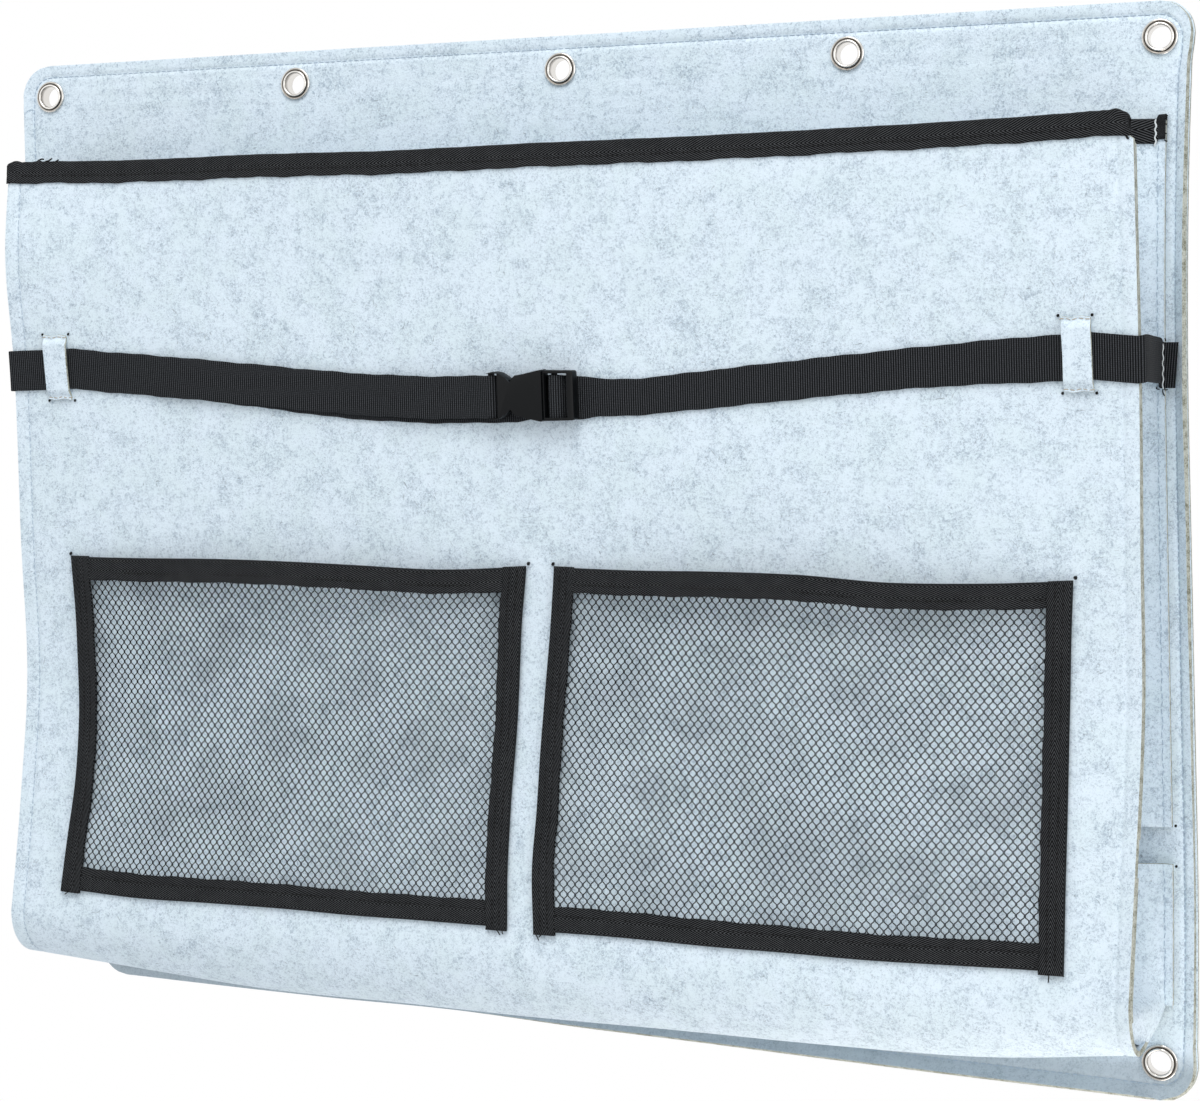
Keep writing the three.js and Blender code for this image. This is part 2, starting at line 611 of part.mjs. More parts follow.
// The net, with its places counted in half gaps from its lower left corner. A gap lies round each place whose
// two counts are both odd or both even, and beside the tape such places are filled.
function pocketNet(side) {
  const edge = TAPE_WIDTH + GAP;
  const halfX = (POCKET_WIDTH - 2 * edge) / (2 * NET_COLUMNS);
  const halfZ = (POCKET_HEIGHT - 2 * edge) / (2 * NET_ROWS);
  const share = 1 - (NET_STRAND / 2) * (Math.hypot(halfX, halfZ) / (halfX * halfZ));
  const behind = (POCKET_TAPE - NET) / 2;
  const positions = [];
  const index = [];
  const known = new Map();
  const isInside = ([i, j]) => i >= 0 && j >= 0 && i <= 2 * NET_COLUMNS && j <= 2 * NET_ROWS;
  // The front point of a place; its back point is the next one.
  const at = ([i, j]) => {
    const key = `${i.toFixed(4)} ${j.toFixed(4)}`;
    if (!known.has(key)) {
      known.set(key, positions.length / 3);
      const down = POCKET_HEIGHT - edge - j * halfZ;
      for (const out of [behind + NET, behind]) {
        positions.push(...pocketPlace(side, edge + i * halfX, down, out));
      }
    }
    return known.get(key);
  };
  const face = (a, b, c) => index.push(a, b, c, a + 1, c + 1, b + 1);
  const wall = (a, b) => index.push(a, a + 1, b, b, a + 1, b + 1);
  for (let i = 0; i <= 2 * NET_COLUMNS; i += 1) {
    for (let j = i % 2; j <= 2 * NET_ROWS; j += 2) {
      const around = [[i + 1, j], [i, j + 1], [i - 1, j], [i, j - 1]];
      const whole = around.every(isInside);
      for (let k = 0; k < around.length; k += 1) {
        const [corner, next] = [around[k], around[(k + 1) % around.length]];
        if (whole) {
          const [a, b] = [at(corner), at(next)];
          const inner = at([mix(i, corner[0], share), mix(j, corner[1], share)]);
          const innerNext = at([mix(i, next[0], share), mix(j, next[1], share)]);
          face(a, b, innerNext);
          face(a, innerNext, inner);
          wall(innerNext, inner);
        } else if (isInside(corner) && isInside(next)) {
          face(at([i, j]), at(corner), at(next));
        } else if (isInside(corner)) {
          wall(at(corner), at([i, j]));
        } else if (isInside(next)) {
          wall(at([i, j]), at(next));
        }
      }
    }
  }
  const net = new THREE.BufferGeometry();
  net.setAttribute('position', new THREE.Float32BufferAttribute(positions, 3));
  net.setIndex(index);
  net.computeVertexNormals();
  return net;
}

function addPockets() {
  const inner = TAPE_WIDTH + GAP;
  for (const [name, side] of [['left', LEFT], ['right', RIGHT]]) {
    const tape = (...where) => pocketTape(side, ...where);
    addPart(`pocket_${name}_net`, pocketNet(side), netMaterial);
    const far = POCKET_WIDTH - inner;
    addPart(`pocket_${name}_tape_top`, tape(inner, far, 0, TAPE_WIDTH, MOUTH_STEPS, 1), tapeMaterial);
    const low = POCKET_HEIGHT - TAPE_WIDTH;
    addPart(`pocket_${name}_tape_bottom`, tape(inner, far, low, POCKET_HEIGHT, TAPE_STEPS, 1), tapeMaterial);
    const right = POCKET_WIDTH - TAPE_WIDTH;
    addPart(`pocket_${name}_tape_left`, tape(0, TAPE_WIDTH, 0, POCKET_HEIGHT, 1, TAPE_STEPS), tapeMaterial);
    addPart(`pocket_${name}_tape_right`, tape(right, POCKET_WIDTH, 0, POCKET_HEIGHT, 1, TAPE_STEPS), tapeMaterial);
  }
}

// Strap and keepers

// Webbing along the front: points are [x, how far its middle is out from the front sheet], in order.
function frontWebbing(points) {
  const curve = new THREE.CatmullRomCurve3(points.map(([x, out]) => new THREE.Vector3(x, out, 0)));
  const mapped = (u, v) => {
    const { x, y: out } = curve.getPoint(v);
    return onFront(x, strapLine(x) + (u - 0.5) * STRAP_WIDTH, out);
  };
  return sheetSolid(mapped, WEBBING, 1, (points.length - 1) * STRAP_STEPS);
}

// The left webbing goes over the socket's bar, down its slot and back behind itself.
function addLeftStrap() {
  const bar = SOCKET_END + STRAP_BAR;
  const overBar = BUCKLE_OUT + BUCKLE_THICKNESS / 2 - BUCKLE_WALL;
  const slot = bar + STRAP_SLOT / 2;
  const tailEnd = MOUTH_X - TAIL_LENGTH;
  const lapEnd = SOCKET_END - LAP_LENGTH;
  const overTail = LAP_OUT + GAP / 2;
  const overLap = COVER_OUT + GAP;
  const points = [
    [-KEEPER_X, TAIL_OUT],
    [mix(-KEEPER_X, tailEnd, 0.5), TAIL_OUT],
    [tailEnd - STEP_RUN, mix(TAIL_OUT, overTail, 0.35)],
    [tailEnd - WEBBING, overTail],
    [mix(tailEnd, lapEnd, 0.5), overTail],
    [lapEnd - WEBBING - STEP_RUN, overTail],
    [lapEnd - WEBBING, overLap],
    [mix(lapEnd, SOCKET_END, 0.5), overLap],
    [SOCKET_END - BAR_RUN, overLap + BAR_BEND],
    [SOCKET_END - WEBBING, overBar - GAP],
    [SOCKET_END + STRAP_BAR / 2, overBar],
    [slot - SLOT_BEND, overBar - BAR_BEND],
    [slot, mix(overBar, LAP_OUT, 0.5)],
    [slot - SLOT_BEND, LAP_OUT + BAR_BEND],
    [SOCKET_END, LAP_OUT],
    [SOCKET_END - BAR_RUN, LAP_OUT],
    [lapEnd, LAP_OUT],
  ];
  addPart('strap_left', frontWebbing(points), webbingMaterial);
}

// The right webbing runs behind the plug's end bar, over its middle bar and on behind the socket as a free end.
function addRightStrap() {
  const overMiddle = BUCKLE_OUT - MIDDLE_BAR_BACK + MIDDLE_BAR_THICKNESS + GAP + WEBBING / 2;
  const nearSlot = MOUTH_X + PLUG_NECK + NEAR_SLOT / 2;
  const middle = MOUTH_X + PLUG_NECK + NEAR_SLOT;
  const plugEnd = MOUTH_X + PLUG_LENGTH;
  const farSlot = mix(middle + MIDDLE_BAR, plugEnd - END_BAR, 0.3);
  const points = [
    [MOUTH_X - TAIL_LENGTH, TAIL_OUT],
    [MOUTH_X - TAIL_LENGTH / 2, TAIL_OUT],
    [MOUTH_X - BAR_RUN, TAIL_OUT],
    [MOUTH_X, TAIL_OUT],
    [nearSlot - SLOT_BEND, TAIL_OUT + BAR_BEND],
    [nearSlot, mix(TAIL_OUT, overMiddle, 0.55)],
    [nearSlot + SLOT_BEND, overMiddle - BAR_BEND],
    [middle, overMiddle],
    [middle + MIDDLE_BAR, overMiddle],
    [farSlot, overMiddle - BAR_BEND],
    [plugEnd - END_BAR - BAR_BEND, TAIL_OUT + BAR_BEND],
    [plugEnd - END_BAR / 2, TAIL_OUT + GAP],
    [plugEnd + BAR_RUN / 2, TAIL_OUT],
    [mix(plugEnd, KEEPER_X, 0.35), TAIL_OUT],
    [mix(plugEnd, KEEPER_X, 0.68), TAIL_OUT],
    [KEEPER_X, TAIL_OUT],
  ];
  addPart('strap_right', frontWebbing(points), webbingMaterial);
}

// The webbing from under a keeper, round the front sheet's edge and back to the panel, where it is sewn.
function strapSide(side) {
  const start = KEEPER_X + GAP;
  const edge = FRONT_WIDTH / 2;
  const outside = edge + GAP + WEBBING / 2;
  const backSeam = PANEL_WIDTH / 2 - BACK_SEAM_INSET;
  const path = (z) => {
    const front = (x) => frontFace(side * x, z);
    const overFlange = panelFront(side * backSeam, z) - seamGap(z) - FELT - SEAT - WEBBING / 2;
    const places = [
      [start, front(start) - TAIL_OUT],
      [mix(start, edge, 0.5), front(mix(start, edge, 0.5)) - TAIL_OUT],
      [edge - WEBBING, front(edge) - TAIL_OUT],
      [outside, front(edge) - SEAT],
      [outside + SEAT, front(edge) + FELT],
      [outside + SEAT, mix(front(edge), overFlange, 0.5)],
      [outside + WEBBING, overFlange - SIDE_BEND],
      [backSeam + SIDE_BEND, overFlange],
      [backSeam + STRAP_SEWN + WEBBING, overFlange],
    ];
    return new THREE.CatmullRomCurve3(places.map(([x, y]) => new THREE.Vector3(side * x, y, z)));
  };
  const mapped = (u, v) => path(STRAP_LINE + (u - 0.5) * STRAP_WIDTH).getPoint(side === RIGHT ? v : 1 - v);
  return sheetSolid(mapped, WEBBING, 1, SIDE_STEPS);
}

// A felt loop over the strap, sewn down above and below it.
function keeper(side) {
  const raised = SEAT + WEBBING + 2 * GAP + KEEPER_FELT / 2;
  const low = SEAT + KEEPER_FELT / 2;
  const sewn = KEEPER_HEIGHT / 2 - KEEPER_HEM;
  const clear = STRAP_WIDTH / 2 + KEEPER_ROOM;
  const mapped = (u, v) => {
    const x = side * KEEPER_X + (u - 0.5) * KEEPER_WIDTH;
    const up = (v - 0.5) * KEEPER_HEIGHT;
    const past = Math.min(1, Math.max(0, (Math.abs(up) - clear) / (sewn - clear)));
    return onFront(x, STRAP_LINE + up, mix(raised, low, past));
  };
  return sheetSolid(mapped, KEEPER_FELT, 2, KEEPER_ROWS);
}

function addStrap() {
  addLeftStrap();
  addRightStrap();
  addPart('strap_side_left', strapSide(LEFT), webbingMaterial);
  addPart('strap_side_right', strapSide(RIGHT), webbingMaterial);
  addPart('keeper_left', keeper(LEFT), feltMaterial);
  addPart('keeper_right', keeper(RIGHT), feltMaterial);
}

// Buckle: drawn with X along the strap from the socket's closed end, Z across it and -Y towards the front,
// about the middle of its thickness.

// Both long edges of an outline from [x, half width] points, mirrored about the strap's middle line.
function mirroredOutline(points) {
  const shape = new THREE.Shape();
  points.forEach(([x, half], i) => (i === 0 ? shape.moveTo(x, half) : shape.lineTo(x, half)));
  [...points].reverse().forEach(([x, half]) => shape.lineTo(x, -half));
  shape.closePath();
  return shape;
}

function socketGeometry() {
  const notch = SOCKET_LENGTH * NOTCH_SHARE;
  const flank = mix(NOTCH_HALF, MOUTH_HALF, 0.65);
  const outline = mirroredOutline([
    [0, LUG_HALF - CORNER],
    [LUG_LENGTH / 2, LUG_HALF],
    [LUG_LENGTH, LUG_HALF - CORNER],
    [mix(LUG_LENGTH, notch, 0.6), mix(LUG_HALF, NOTCH_HALF, 0.55)],
    [notch, NOTCH_HALF],
    [notch + NOTCH_RUN * 0.27, mix(NOTCH_HALF, flank, 0.45)],
    [notch + NOTCH_RUN * 0.6, mix(NOTCH_HALF, flank, 0.8)],
    [notch + NOTCH_RUN, flank],
    [SOCKET_LENGTH - CORNER, MOUTH_HALF],
    [SOCKET_LENGTH, MOUTH_HALF - CORNER],
  ]);
  const half = BUCKLE_THICKNESS / 2;
  const inner = half - BUCKLE_WALL;
  const strapHalf = STRAP_WIDTH / 2 + STRAP_FIT;
  const slotEnd = STRAP_BAR + STRAP_SLOT;
  const reach = half + CLEAR;
  const barHalf = half - BUCKLE_WALL - CLEAR;
  return cut(plateOf(outline, -half, half), [
    boxAt(STRAP_BAR, slotEnd, -reach, reach, -strapHalf, strapHalf),
    boxAt(-CLEAR, STRAP_BAR + JOINED, -reach, -barHalf, -strapHalf, strapHalf),
    boxAt(-CLEAR, STRAP_BAR + JOINED, barHalf, reach, -strapHalf, strapHalf),
    boxAt(notch - CAVITY_START, SOCKET_LENGTH + CLEAR, -inner, inner, -CAVITY_HALF, CAVITY_HALF),
  ]);
}

function plugGeometry() {
  const half = PLUG_THICKNESS / 2;
  const start = SOCKET_LENGTH + GAP;
  const end = SOCKET_LENGTH + PLUG_LENGTH;
  const outline = mirroredOutline([
    [start, PLUG_HALF],
    [end - CORNER, PLUG_HALF - PLUG_TAPER],
    [end, PLUG_HALF - PLUG_TAPER - CORNER],
  ]);
  const reach = half + CLEAR;
  const opening = PLUG_HALF - PLUG_RIM;
  const near = SOCKET_LENGTH + PLUG_NECK;
  const middle = near + NEAR_SLOT;
  const barEnd = middle + MIDDLE_BAR;
  const barFront = MIDDLE_BAR_BACK - MIDDLE_BAR_THICKNESS;
  const frame = cut(plateOf(outline, -half, half), [
    boxAt(near, middle, -reach, reach, -opening, opening),
    boxAt(barEnd, end - END_BAR, -reach, reach, -opening, opening),
    boxAt(middle - JOINED, barEnd + JOINED, -reach, barFront, -opening, opening),
    boxAt(middle - JOINED, barEnd + JOINED, MIDDLE_BAR_BACK, reach, -opening, opening),
  ]);
  const tongue = SOCKET_LENGTH - PRONG_LENGTH * TONGUE_SHARE;
  const thick = TONGUE_THICKNESS / 2;
  const guide = mirroredOutline([
    [tongue, TONGUE_HALF / 2],
    [tongue + TONGUE_HALF / 2, TONGUE_HALF],
    [SOCKET_LENGTH + PLUG_NECK / 2, TONGUE_HALF],
  ]);
  return fromManifold(toManifold(frame).add(toManifold(plateOf(guide, -thick, thick))));
}

// One of the two springy arms: its shouldered head shows in the socket's notch.
function prongGeometry(side) {
  const head = SOCKET_LENGTH - PRONG_LENGTH;
  const outer = CAVITY_HALF - PRONG_FIT;
  const arm = outer - PRONG_SHOULDER;
  const inner = arm - PRONG_WIDTH;
  const shape = new THREE.Shape();
  shape.moveTo(SOCKET_LENGTH, arm);
  shape.lineTo(head + PRONG_HEAD, arm);
  shape.lineTo(head + PRONG_HEAD - PRONG_SHOULDER, outer);
  shape.lineTo(head + PRONG_HEAD * 0.45, outer - PRONG_SHOULDER / 2);
  shape.lineTo(head + PRONG_SHOULDER, mix(inner, arm, 0.4));
  shape.lineTo(head, inner - PRONG_SHOULDER / 2);
  shape.lineTo(head + PRONG_SHOULDER, inner - PRONG_SHOULDER);
  shape.lineTo(head + PRONG_HEAD, inner);
  shape.lineTo(SOCKET_LENGTH, inner);
  shape.closePath();
  const half = BUCKLE_THICKNESS / 2 - BUCKLE_WALL - INNER_FIT;
  const prong = plateOf(shape, -half, half);
  return side === RIGHT ? prong : prong.rotateX(Math.PI);
}

function addBuckle() {
  const z = strapLine(SOCKET_X);
  const middle = onFront(SOCKET_END, z, BUCKLE_OUT);
  const along = onFront(SOCKET_END + 10, z, BUCKLE_OUT).sub(middle).normalize();
  const up = onFront(SOCKET_END, z + 10, BUCKLE_OUT).sub(middle).normalize();
  const inward = new THREE.Vector3().crossVectors(up, along).normalize();
  const across = new THREE.Vector3().crossVectors(along, inward);
  const placed = new THREE.Matrix4().makeBasis(along, inward, across).setPosition(middle);
  const pieces = [
    ['buckle_socket', socketGeometry()],
    ['buckle_plug', plugGeometry()],
    ['buckle_prong_upper', prongGeometry(RIGHT)],
    ['buckle_prong_lower', prongGeometry(LEFT)],
  ];
  for (const [name, geometry] of pieces) {
    addPart(name, geometry, plasticMaterial).applyMatrix4(placed);
  }
}

addBackPanel();
addFrontSheet();
addFrontBinding();
addGussets();
addPockets();
addStrap();
addBuckle();

export default organizer;
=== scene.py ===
import math

import bmesh
import bpy
import numpy as np
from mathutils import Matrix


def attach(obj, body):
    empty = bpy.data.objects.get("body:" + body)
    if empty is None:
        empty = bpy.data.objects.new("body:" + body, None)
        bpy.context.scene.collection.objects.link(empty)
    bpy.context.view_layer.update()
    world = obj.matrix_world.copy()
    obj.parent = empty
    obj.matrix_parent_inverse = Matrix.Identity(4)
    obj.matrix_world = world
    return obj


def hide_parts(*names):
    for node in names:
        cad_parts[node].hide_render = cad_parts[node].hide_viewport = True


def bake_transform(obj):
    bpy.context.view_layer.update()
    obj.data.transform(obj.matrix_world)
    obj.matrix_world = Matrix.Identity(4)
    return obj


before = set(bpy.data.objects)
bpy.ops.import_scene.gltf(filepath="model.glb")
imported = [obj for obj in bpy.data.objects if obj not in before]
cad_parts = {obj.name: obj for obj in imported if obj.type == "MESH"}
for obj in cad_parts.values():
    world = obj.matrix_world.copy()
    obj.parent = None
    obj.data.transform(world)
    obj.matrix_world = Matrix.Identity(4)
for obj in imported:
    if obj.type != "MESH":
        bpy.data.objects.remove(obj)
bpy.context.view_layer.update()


# Camera and studio.
# The bag is seen from its front, 22 degrees round to its right, with a long lens held level at the strap's
# height. The frame is shifted down, as in the photograph.
FRAME_WIDTH = 1200
FRAME_HEIGHT = 1101
FOCAL_PIXELS = 2755
PRINCIPAL_POINT = (598, 438)
CAMERA_PLACE = (0.634, -1.516, -0.219)
CAMERA_TURN = math.radians(22)
SENSOR = 36

camera_data = bpy.data.cameras.new("camera")
camera = bpy.data.objects.new("camera", camera_data)
bpy.context.scene.collection.objects.link(camera)
camera_data.sensor_width = SENSOR
camera_data.lens = SENSOR * FOCAL_PIXELS / FRAME_WIDTH
camera_data.shift_x = 0.5 - PRINCIPAL_POINT[0] / FRAME_WIDTH
camera_data.shift_y = (PRINCIPAL_POINT[1] - FRAME_HEIGHT / 2) / FRAME_WIDTH
camera_data.clip_start = 0.05
camera.location = CAMERA_PLACE
camera.rotation_euler = (math.pi / 2, 0, CAMERA_TURN)
bpy.context.scene.camera = camera
bpy.context.scene.view_settings.view_transform = "Standard"


def area_lamp(name, place, target, size, power, colour):
    """A square lamp at a place, facing a target."""
    data = bpy.data.lights.new(name, "AREA")
    data.size = size
    data.energy = power
    data.color = colour
    lamp = bpy.data.objects.new(name, data)
    bpy.context.scene.collection.objects.link(lamp)
    lamp.location = place
    away = np.array(place) - np.array(target)
    lamp.rotation_euler = (
        math.atan2(math.hypot(away[0], away[1]), away[2]),
        0,
        math.atan2(away[1], away[0]) + math.pi / 2,
    )


BAG_MIDDLE = (0, 0, -0.28)
area_lamp("key_lamp", (0.3, -2.4, 0.9), BAG_MIDDLE, 1.4, 2.5, (1, 0.99, 0.97))
area_lamp("top_lamp", (0.2, -1.2, 1.6), BAG_MIDDLE, 1.2, 26, (1, 0.99, 0.98))
area_lamp("left_lamp", (-2.0, -1.3, 0.3), BAG_MIDDLE, 1.6, 6, (0.96, 0.98, 1))
area_lamp("right_lamp", (2.1, -1.2, 0.1), BAG_MIDDLE, 1.4, 13, (0.98, 0.99, 1))
area_lamp("low_lamp", (0.4, -0.12, -1.03), (0.2, -0.04, -0.55), 0.6, 3.2, (1, 0.92, 0.85))


class Value:
    """One output of a material's nodes. Arithmetic on it adds Math nodes."""

    def __init__(self, finish, socket):
        self.finish = finish
        self.socket = socket

    def math(self, operation, *values):
        return self.finish.node("ShaderNodeMath", {"operation": operation}, *values)

    def __add__(self, other):
        return self.math("ADD", self, other)

    def __sub__(self, other):
        return self.math("SUBTRACT", self, other)

    def __rsub__(self, other):
        return self.math("SUBTRACT", other, self)

    def __mul__(self, other):
        return self.math("MULTIPLY", self, other)

    def __pow__(self, other):
        return self.math("POWER", self, other)

    __radd__ = __add__

    def bend(self, low, high):
        """A smooth step from 0 at low to 1 at high."""
        settings = {"interpolation_type": "SMOOTHSTEP"}
        return self.finish.node("ShaderNodeMapRange", settings, self, low, high, 0, 1)

    def wave(self):
        return self.math("SINE", self)

    def larger(self, other):
        return self.math("MAXIMUM", self, other)


class Finish:
    """A material: nodes that lead to one Principled shader."""

    def __init__(self, name, sockets):
        self.material = bpy.data.materials.new(name)
        self.material.use_nodes = True
        self.tree = self.material.node_tree
        self.shader = self.tree.nodes["Principled BSDF"]
        self.set(sockets)

    def set(self, sockets):
        for label, value in sockets.items():
            self.feed(self.shader.inputs[label], value)

    def feed(self, socket, value):
        if isinstance(value, Value):
            self.tree.links.new(value.socket, socket)
        else:
            socket.default_value = value

    def node(self, kind, settings, *values, output=0, **named):
        made = self.tree.nodes.new(kind)
        for key, value in settings.items():
            setattr(made, key, value)
        for i, value in enumerate(values):
            self.feed(made.inputs[i], value)
        for label, value in named.items():
            self.feed(made.inputs[label], value)
        return Value(self, made.outputs[output])

    def place(self):
        """The piece's own coordinates, in metres."""
        return self.node("ShaderNodeTexCoord", {}, output="Object")

    def coordinate(self, axis):
        """One of the piece's own coordinates, in metres."""
        return self.node("ShaderNodeSeparateXYZ", {}, self.place(), output=axis)

    def along(self):
        """The piece's UV map as two values: on cloth, metres along its length and across its width."""
        uv = self.node("ShaderNodeTexCoord", {}, output="UV")
        return [self.node("ShaderNodeSeparateXYZ", {}, uv, output=axis) for axis in ("X", "Y")]

    def turned(self, place, angle, stretch):
        """The place turned about Y and stretched, for a pattern that runs one way."""
        settings = {"vector_type": "TEXTURE"}
        return self.node("ShaderNodeMapping", settings, place, Rotation=(0, angle, 0), Scale=stretch)

    def noise(self, place, scale, detail=2, roughness=0.5, distortion=0):
        sockets = {"Scale": scale, "Detail": detail, "Roughness": roughness, "Distortion": distortion}
        return self.node("ShaderNodeTexNoise", {}, place, output="Fac", **sockets)

    def mix(self, share, first, second):
        made = self.tree.nodes.new("ShaderNodeMix")
        made.data_type = "RGBA"
        self.feed(made.inputs["Factor"], share)
        for label, colour in (("A", first), ("B", second)):
            socket = [s for s in made.inputs if s.name == label and s.type == "RGBA"][0]
            self.feed(socket, colour)
        return Value(self, [s for s in made.outputs if s.type == "RGBA"][0])

    def bump(self, height, distance):
        """Shades the surface as if it rose by the height's share of the distance."""
        sockets = {"Strength": 1, "Distance": distance, "Height": height}
        self.set({"Normal": self.node("ShaderNodeBump", {}, output="Normal", **sockets)})


def srgb(red, green, blue):
    """A colour given as 0 to 255 display values, as a linear colour with alpha."""
    parts = [c / 255 for c in (red, green, blue)]
    return tuple(c / 12.92 if c <= 0.04045 else ((c + 0.055) / 1.055) ** 2.4 for c in parts) + (1,)


# The background is white to the camera and in reflections, and dimmer and bluish as a light.
world = bpy.data.worlds.new("studio")
bpy.context.scene.world = world
world.use_nodes = True
world_nodes = world.node_tree.nodes
world_links = world.node_tree.links
soft_light = world_nodes["Background"]
white = world_nodes.new("ShaderNodeBackground")
for light, colour, strength in ((soft_light, (0.95, 0.97, 1, 1), 0.54), (white, (1, 1, 1, 1), 1)):
    light.inputs["Color"].default_value = colour
    light.inputs["Strength"].default_value = strength
ray = world_nodes.new("ShaderNodeLightPath")
seen = ray.outputs["Is Camera Ray"]
for kind in ("Is Glossy Ray", "Is Transmission Ray"):
    either = world_nodes.new("ShaderNodeMath")
    either.operation = "MAXIMUM"
    world_links.new(seen, either.inputs[0])
    world_links.new(ray.outputs[kind], either.inputs[1])
    seen = either.outputs[0]
choice = world_nodes.new("ShaderNodeMixShader")
world_links.new(seen, choice.inputs["Fac"])
world_links.new(soft_light.outputs[0], choice.inputs[1])
world_links.new(white.outputs[0], choice.inputs[2])
world_links.new(choice.outputs[0], world_nodes["World Output"].inputs["Surface"])

FLOOR_HEIGHT = -1.05
FLOOR_RADIUS = 1.2
floor_angles = np.linspace(0, 2 * math.pi, 64, endpoint=False)
floor_rim = [(FLOOR_RADIUS * math.cos(a), FLOOR_RADIUS * math.sin(a), FLOOR_HEIGHT) for a in floor_angles]
floor_mesh = bpy.data.meshes.new("floor")
floor_mesh.from_pydata(floor_rim, [], [list(range(len(floor_rim)))])
floor = bpy.data.objects.new("floor", floor_mesh)
bpy.context.scene.collection.objects.link(floor)
floor_finish = Finish("pale floor", {"Base Color": srgb(238, 239, 240), "Roughness": 0.8})
floor_mesh.materials.append(floor_finish.material)


# Back panel.
# Two layers of thick needled felt, cut with round corners and stitched together all round, 7.5 mm inside
# their cut edges. It hangs from its top eyelets, flat along its top and right edges, and its lower left
# corner swings back.
FELT = 0.003
GAP = 0.0003
SEAT = 0.0005
PANEL_WIDTH = 0.750
PANEL_HEIGHT = 0.600
PANEL_CORNER = 0.020
PANEL_TOP = 0.020
SWING = 0.095
FLAT_SHARE = 0.1
SWING_BLEND = 0.25
SEAM_INSET = 0.0075
SEAM_DEPTH = 0.0009
SEAM_HALF = 0.0011
EYELET_INSET = 0.020
FELT_HOLE = 0.0088
PANEL_BOTTOM = PANEL_TOP - PANEL_HEIGHT
PANEL_MIDDLE = (PANEL_TOP + PANEL_BOTTOM) / 2
RIGHT_BOW = np.array([1.5, 4.0, 4.2, 2.6, 0.8, -0.9, -0.6]) / 1000
LEFT_BOW = np.array([-1.8, 1.8, 3.0, 2.0, 0.0, 0.0, 0.0]) / 1000
RIGHT_CURL = np.radians([6, 24, 31, 19, 9, 5, 16])
BOTTOM_CURL = math.radians(25)
BOTTOM_LIFT = np.array([0, 0.9, 2.4, 4.8, 4.8, 5.2, 4.6, 2.6, -0.4]) / 1000
CURLED_TRIM = 0.002
BOW_START = 0.33
BOW_FADE = 0.0375
EYELET_HOLD = 0.010
HOLD_FADE = 0.015


def padded(values):
    """Values with one more at each end, in line with the last two there."""
    return np.concatenate([[2 * values[0] - values[1]], values, [2 * values[-1] - values[-2]]])


def catmull_rom(p0, p1, p2, p3, f):
    """The Catmull-Rom curve's place at a share f of the way from p1 to p2."""
    bend = (2 * p0 - 5 * p1 + 4 * p2 - p3) * f * f + (3 * p1 - p0 - 3 * p2 + p3) * f**3
    return p1 + 0.5 * ((p2 - p0) * f + bend)


def smooth_through(values, t):
    """A Catmull-Rom curve through values that are evenly spaced over t = 0..1."""
    last = len(values) - 1
    place = np.clip(t, 0, 1) * last
    i = np.minimum(place.astype(int), last - 1)
    ends = padded(values)
    return catmull_rom(ends[i], ends[i + 1], ends[i + 2], ends[i + 3], place - i)


def soft_ramp(t):
    """0 up to the flat share, then a parabola over the blend, then a straight rise to 1 at t = 1."""
    past = np.maximum(0, t - FLAT_SHARE)
    rise = np.where(past < SWING_BLEND, past * past / (2 * SWING_BLEND), past - SWING_BLEND / 2)
    return rise / (1 - FLAT_SHARE - SWING_BLEND / 2)


def unevenness(x, z):
    """The slow waves that thick felt keeps from the roll: three crossed sines of about 1 mm, which fade out
    where the buckle holds the felt flat."""
    first = np.sin(x * 17 + 1.2) * np.sin(z * 13 + 0.4)
    second = np.sin(x * 31 - z * 19 + 2.1)
    third = np.sin(x * 9 + z * 41 + 0.7)
    by_buckle = np.exp(-(((x - 0.003) / 0.07) ** 2) - ((z + 0.1945) / 0.045) ** 2)
    return (0.0009 * first + 0.0005 * second + 0.0004 * third) * (1 - by_buckle)


def panel_rear(x, z):
    """The panel's rear face: how far back it hangs at x and z."""
    across = soft_ramp((PANEL_WIDTH / 2 - x) / PANEL_WIDTH)
    down = soft_ramp((PANEL_TOP - z) / PANEL_HEIGHT)
    return SWING * across * down


def panel_front(x, z):
    return panel_rear(x, z) - 2 * FELT - GAP


def lines(low, high, step, fine_step, fine_places, reach):
    """Grid lines from low to high, a step apart, and a fine step apart within reach of the fine places."""
    t = np.linspace(low, high, 6000)
    near = np.min(np.abs(t[:, None] - np.array(fine_places)[None, :]), axis=1) < reach
    count = np.concatenate([[0], np.cumsum(np.where(near, 1 / fine_step, 1 / step)[1:] * (t[1] - t[0]))])
    return np.interp(np.linspace(0, count[-1], int(math.ceil(count[-1])) + 1), count, t)


def unit(vectors):
    """Vectors divided by their lengths. One without a length is left as it is."""
    return vectors / np.maximum(np.linalg.norm(vectors, axis=-1, keepdims=True), 1e-12)


def directions(points):
    """The unit normal of a grid of points: the cross product of its two central differences."""
    return unit(np.cross(np.gradient(points, axis=0), np.gradient(points, axis=1)))


def uv_grid(along, across):
    """A UV map for a grid, from one value for each row and one for each column."""
    return np.stack(np.broadcast_arrays(along[:, None], across[None, :]), -1)


def link(name, mesh, body, slot_name, *finishes):
    """Puts a mesh in the scene as a piece that rides on a body."""
    piece = bpy.data.objects.new(name, mesh)
    bpy.context.scene.collection.objects.link(piece)
    for finish in finishes:
        mesh.materials.append(finish.material)
    if body:
        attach(piece, body)
    return piece


